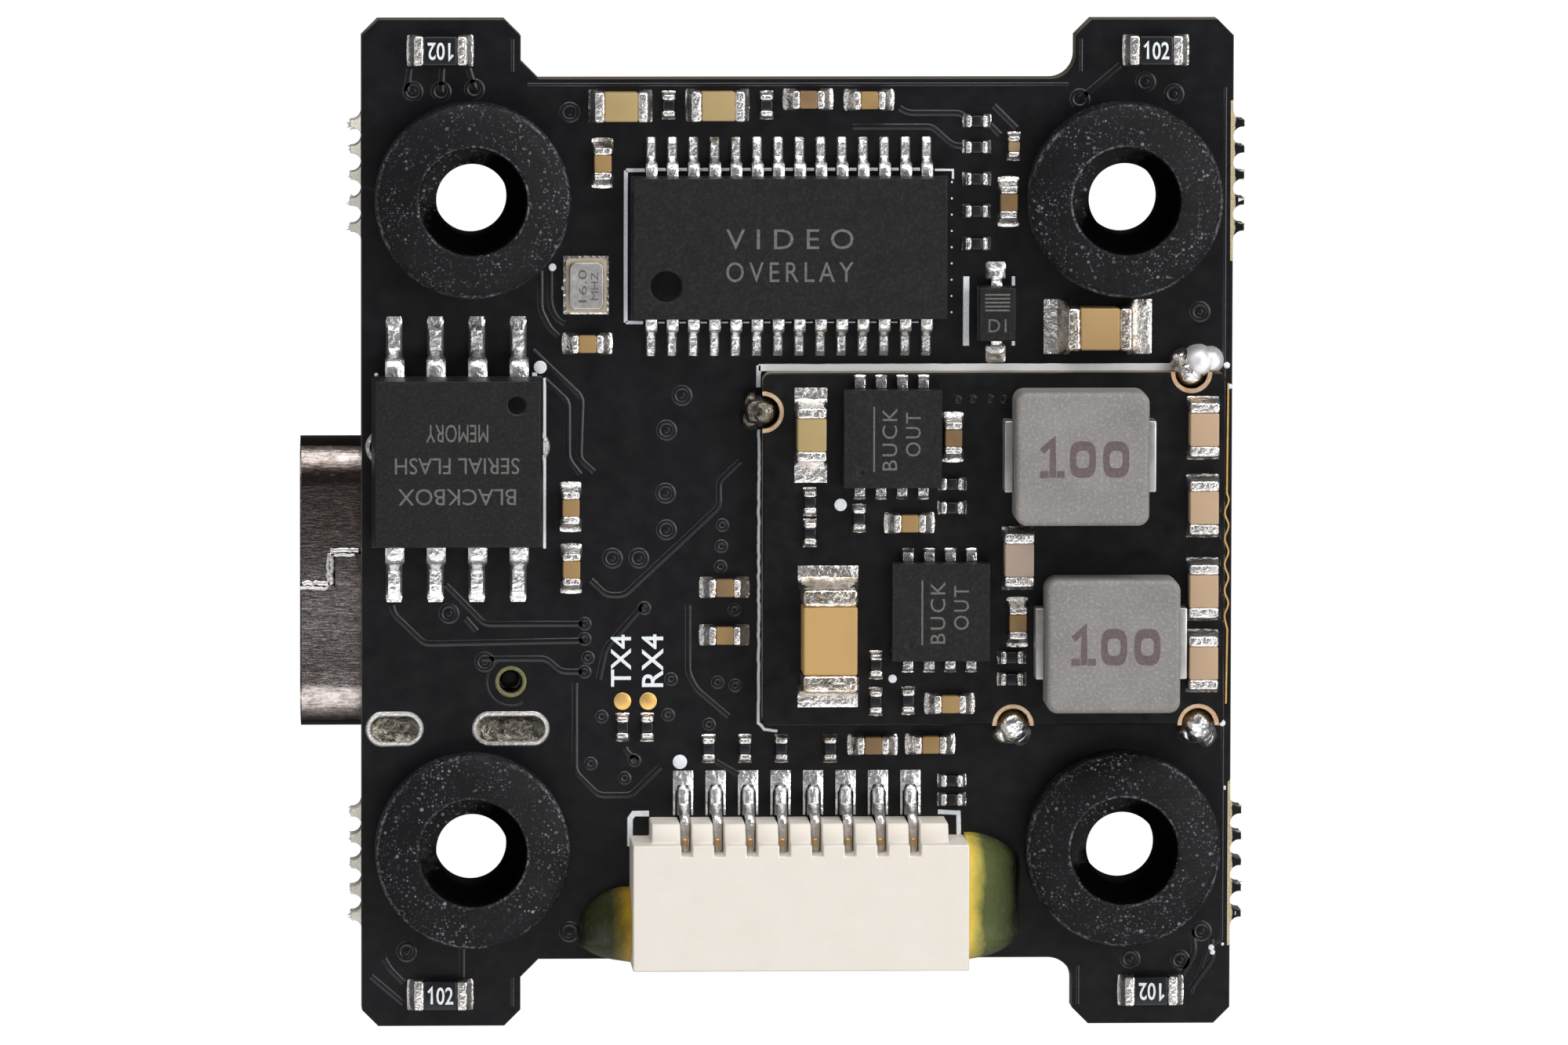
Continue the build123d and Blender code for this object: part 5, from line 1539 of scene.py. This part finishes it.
# ---------------------------------------------------------------- pads and boot switch


def pads():
    soften("solder_pads", 0.02, PAINT["gold"], segments=2, angle=40)


def boot_switch():
    soften("boot_switch_base", 0.04, PAINT["button"])
    soften("boot_switch_cover", 0.04, PAINT["tin"])
    soften("boot_switch_plunger", 0.04, PAINT["button"], segments=3, body="boot_button")
    shape = Shape()
    seed = 60.0
    for low, high in islands("boot_switch_terminals"):
        seed += 1.1
        side = 1 if low.x > -10.3 else -1
        rounded_box(shape, low, high, 0.04, rough=0.01, seed=seed)
        solder_wedge(shape, low, high, 0, side, 0.3, 0.08, 0.8, seed)
    make_piece("boot_switch_feet", shape, [PAINT["solder"]], ["boot_switch_terminals"])
    dome()


DOME_CENTRE = (-10.3, 4.9)
DOME_RADIUS = 1.0
DOME_RISE = 0.35
DOME_SHEET = 0.05
DOME_RIM_Z = -1.565


def dome():
    """The snap dome, a thin spherical cap, drawn at rest; the real one flattens as the plunger is pressed."""
    shape = Shape()
    outer = [(DOME_RADIUS * math.sin(t * math.pi / 16), DOME_RIM_Z - DOME_RISE * math.cos(t * math.pi / 16) ** 1.2) for t in range(9)]
    inner = [(max(r - 0.02, 0.0), z + DOME_SHEET) for r, z in outer[:-1]]
    profile = [(max(r, 0.004), z) for r, z in outer] + [(max(r, 0.004), z) for r, z in reversed(inner)]
    lathe(shape, DOME_CENTRE, profile, 40)
    piece = make_piece("snap_dome", shape, [PAINT["spring"]], ["boot_switch_dome"], sharp=60)
    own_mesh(piece)


# ---------------------------------------------------------------- light, floor, camera


FLOOR_Z = -4.45


def floor():
    """Pale paper for the camera, dark for reflections, and clear from below so the underside can be seen."""
    shape = bpy.data.meshes.new("floor")
    half = 1.5
    z = FLOOR_Z * MM
    shape.from_pydata([(-half, -half, z), (half, -half, z), (half, half, z), (-half, half, z)], [], [(0, 1, 2, 3)])
    plane = bpy.data.objects.new("floor", shape)
    bpy.context.scene.collection.objects.link(plane)
    n = Nodes("floor_paper")
    grain = n.ramp(n.noise(1.5, 4.0), [(0.2, 0.08), (0.8, 0.1)])
    seen = n.node("ShaderNodeLightPath").outputs["Is Camera Ray"]
    n.set(Base_Color=grain, Roughness=0.9, Emission_Color=(1, 1, 1, 1), Emission_Strength=n.math("MULTIPLY", seen, 0.99))
    clear = n.node("ShaderNodeBsdfTransparent")
    pick = n.node("ShaderNodeMixShader")
    n.link(n.node("ShaderNodeNewGeometry").outputs["Backfacing"], pick.inputs[0])
    n.link(n.shader.outputs[0], pick.inputs[1])
    n.link(clear.outputs[0], pick.inputs[2])
    n.link(pick.outputs[0], n.tree.nodes["Material Output"].inputs["Surface"])
    shape.materials.append(n.material)
    plane.visible_shadow = False


# Softboxes: azimuth and elevation in degrees, width, height and distance in millimetres, and radiance.
SOFTBOXES = (
    ("light_front", 270, 46, 460, 400, 420, 1.65),
    ("light_back", 90, 22, 460, 200, 420, 4.2),
    ("light_right", 15, 42, 300, 200, 420, 6.0),
    ("light_left", 185, 30, 300, 160, 420, 0.8),
    ("light_below_front", 250, -42, 400, 300, 420, 2.2),
    ("light_below_back", 60, -50, 300, 300, 420, 1.5),
)


def lights():
    for name, azimuth, elevation, width, height, distance, radiance in SOFTBOXES:
        lamp = bpy.data.lights.new(name, "AREA")
        lamp.shape = "RECTANGLE"
        lamp.size = width * MM
        lamp.size_y = height * MM
        lamp.energy = radiance * math.pi * lamp.size * lamp.size_y
        box = bpy.data.objects.new(name, lamp)
        a, e = math.radians(azimuth), math.radians(elevation)
        away = Vector((math.cos(a) * math.cos(e), math.sin(a) * math.cos(e), math.sin(e)))
        box.location = away * distance * MM
        box.rotation_euler = away.to_track_quat("Z", "Y").to_euler()
        box.visible_camera = False
        bpy.context.scene.collection.objects.link(box)


def world():
    """White for the camera; for everything else dim overhead and a little brighter towards the horizon."""
    made = bpy.data.worlds.new("studio")
    made.use_nodes = True
    tree = made.node_tree
    background = tree.nodes["Background"]
    place = tree.nodes.new("ShaderNodeTexCoord")
    split = tree.nodes.new("ShaderNodeSeparateXYZ")
    tree.links.new(place.outputs["Generated"], split.inputs[0])
    ramp = tree.nodes.new("ShaderNodeValToRGB")
    tree.links.new(split.outputs["Z"], ramp.inputs["Fac"])
    stops = ramp.color_ramp.elements
    stops[0].position, stops[0].color = 0.0, (0.42, 0.42, 0.43, 1)
    stops[1].position, stops[1].color = 0.93, (0.12, 0.12, 0.13, 1)
    path = tree.nodes.new("ShaderNodeLightPath")
    mix = tree.nodes.new("ShaderNodeMix")
    mix.data_type = "RGBA"
    tree.links.new(path.outputs["Is Camera Ray"], mix.inputs[0])
    tree.links.new(ramp.outputs["Color"], mix.inputs[6])
    mix.inputs[7].default_value = (0.97, 0.97, 0.97, 1)
    tree.links.new(mix.outputs[2], background.inputs["Color"])
    bpy.context.scene.world = made


CAMERA_AT = (-22.5, 40.5, 450.0)
CAMERA_TARGET = (-0.41, 0.03, 0.0)
CAMERA_ROLL = -0.002
CAMERA_LENS = 338.2


def camera():
    data = bpy.data.cameras.new("camera")
    data.lens = CAMERA_LENS
    data.sensor_width = 36.0
    data.clip_start = 0.01
    data.clip_end = 10.0
    eye = bpy.data.objects.new("camera", data)
    bpy.context.scene.collection.objects.link(eye)
    at, target = Vector(CAMERA_AT) * MM, Vector(CAMERA_TARGET) * MM
    back = (at - target).normalized()
    up_hint = Vector((math.sin(CAMERA_ROLL), math.cos(CAMERA_ROLL), 0.0))
    right = up_hint.cross(back).normalized()
    up = back.cross(right).normalized()
    rotation = Matrix((right, up, back)).transposed().to_4x4()
    eye.matrix_world = Matrix.Translation(at) @ rotation
    bpy.context.scene.camera = eye


def colour_management():
    view = bpy.context.scene.view_settings
    view.view_transform = "Standard"
    view.look = "None"
    view.exposure = 0.0
    view.gamma = 1.0


# ---------------------------------------------------------------- build


board()
grommets()
all_chip_components()
leads()
package_bodies()
converter_terminals()
inductors()
crystals_and_sensors()
socket()
glue()
usb()
module_joints()
mask_relief()
printing()
component_markings()
pads()
boot_switch()
floor()
lights()
world()
camera()
colour_management()
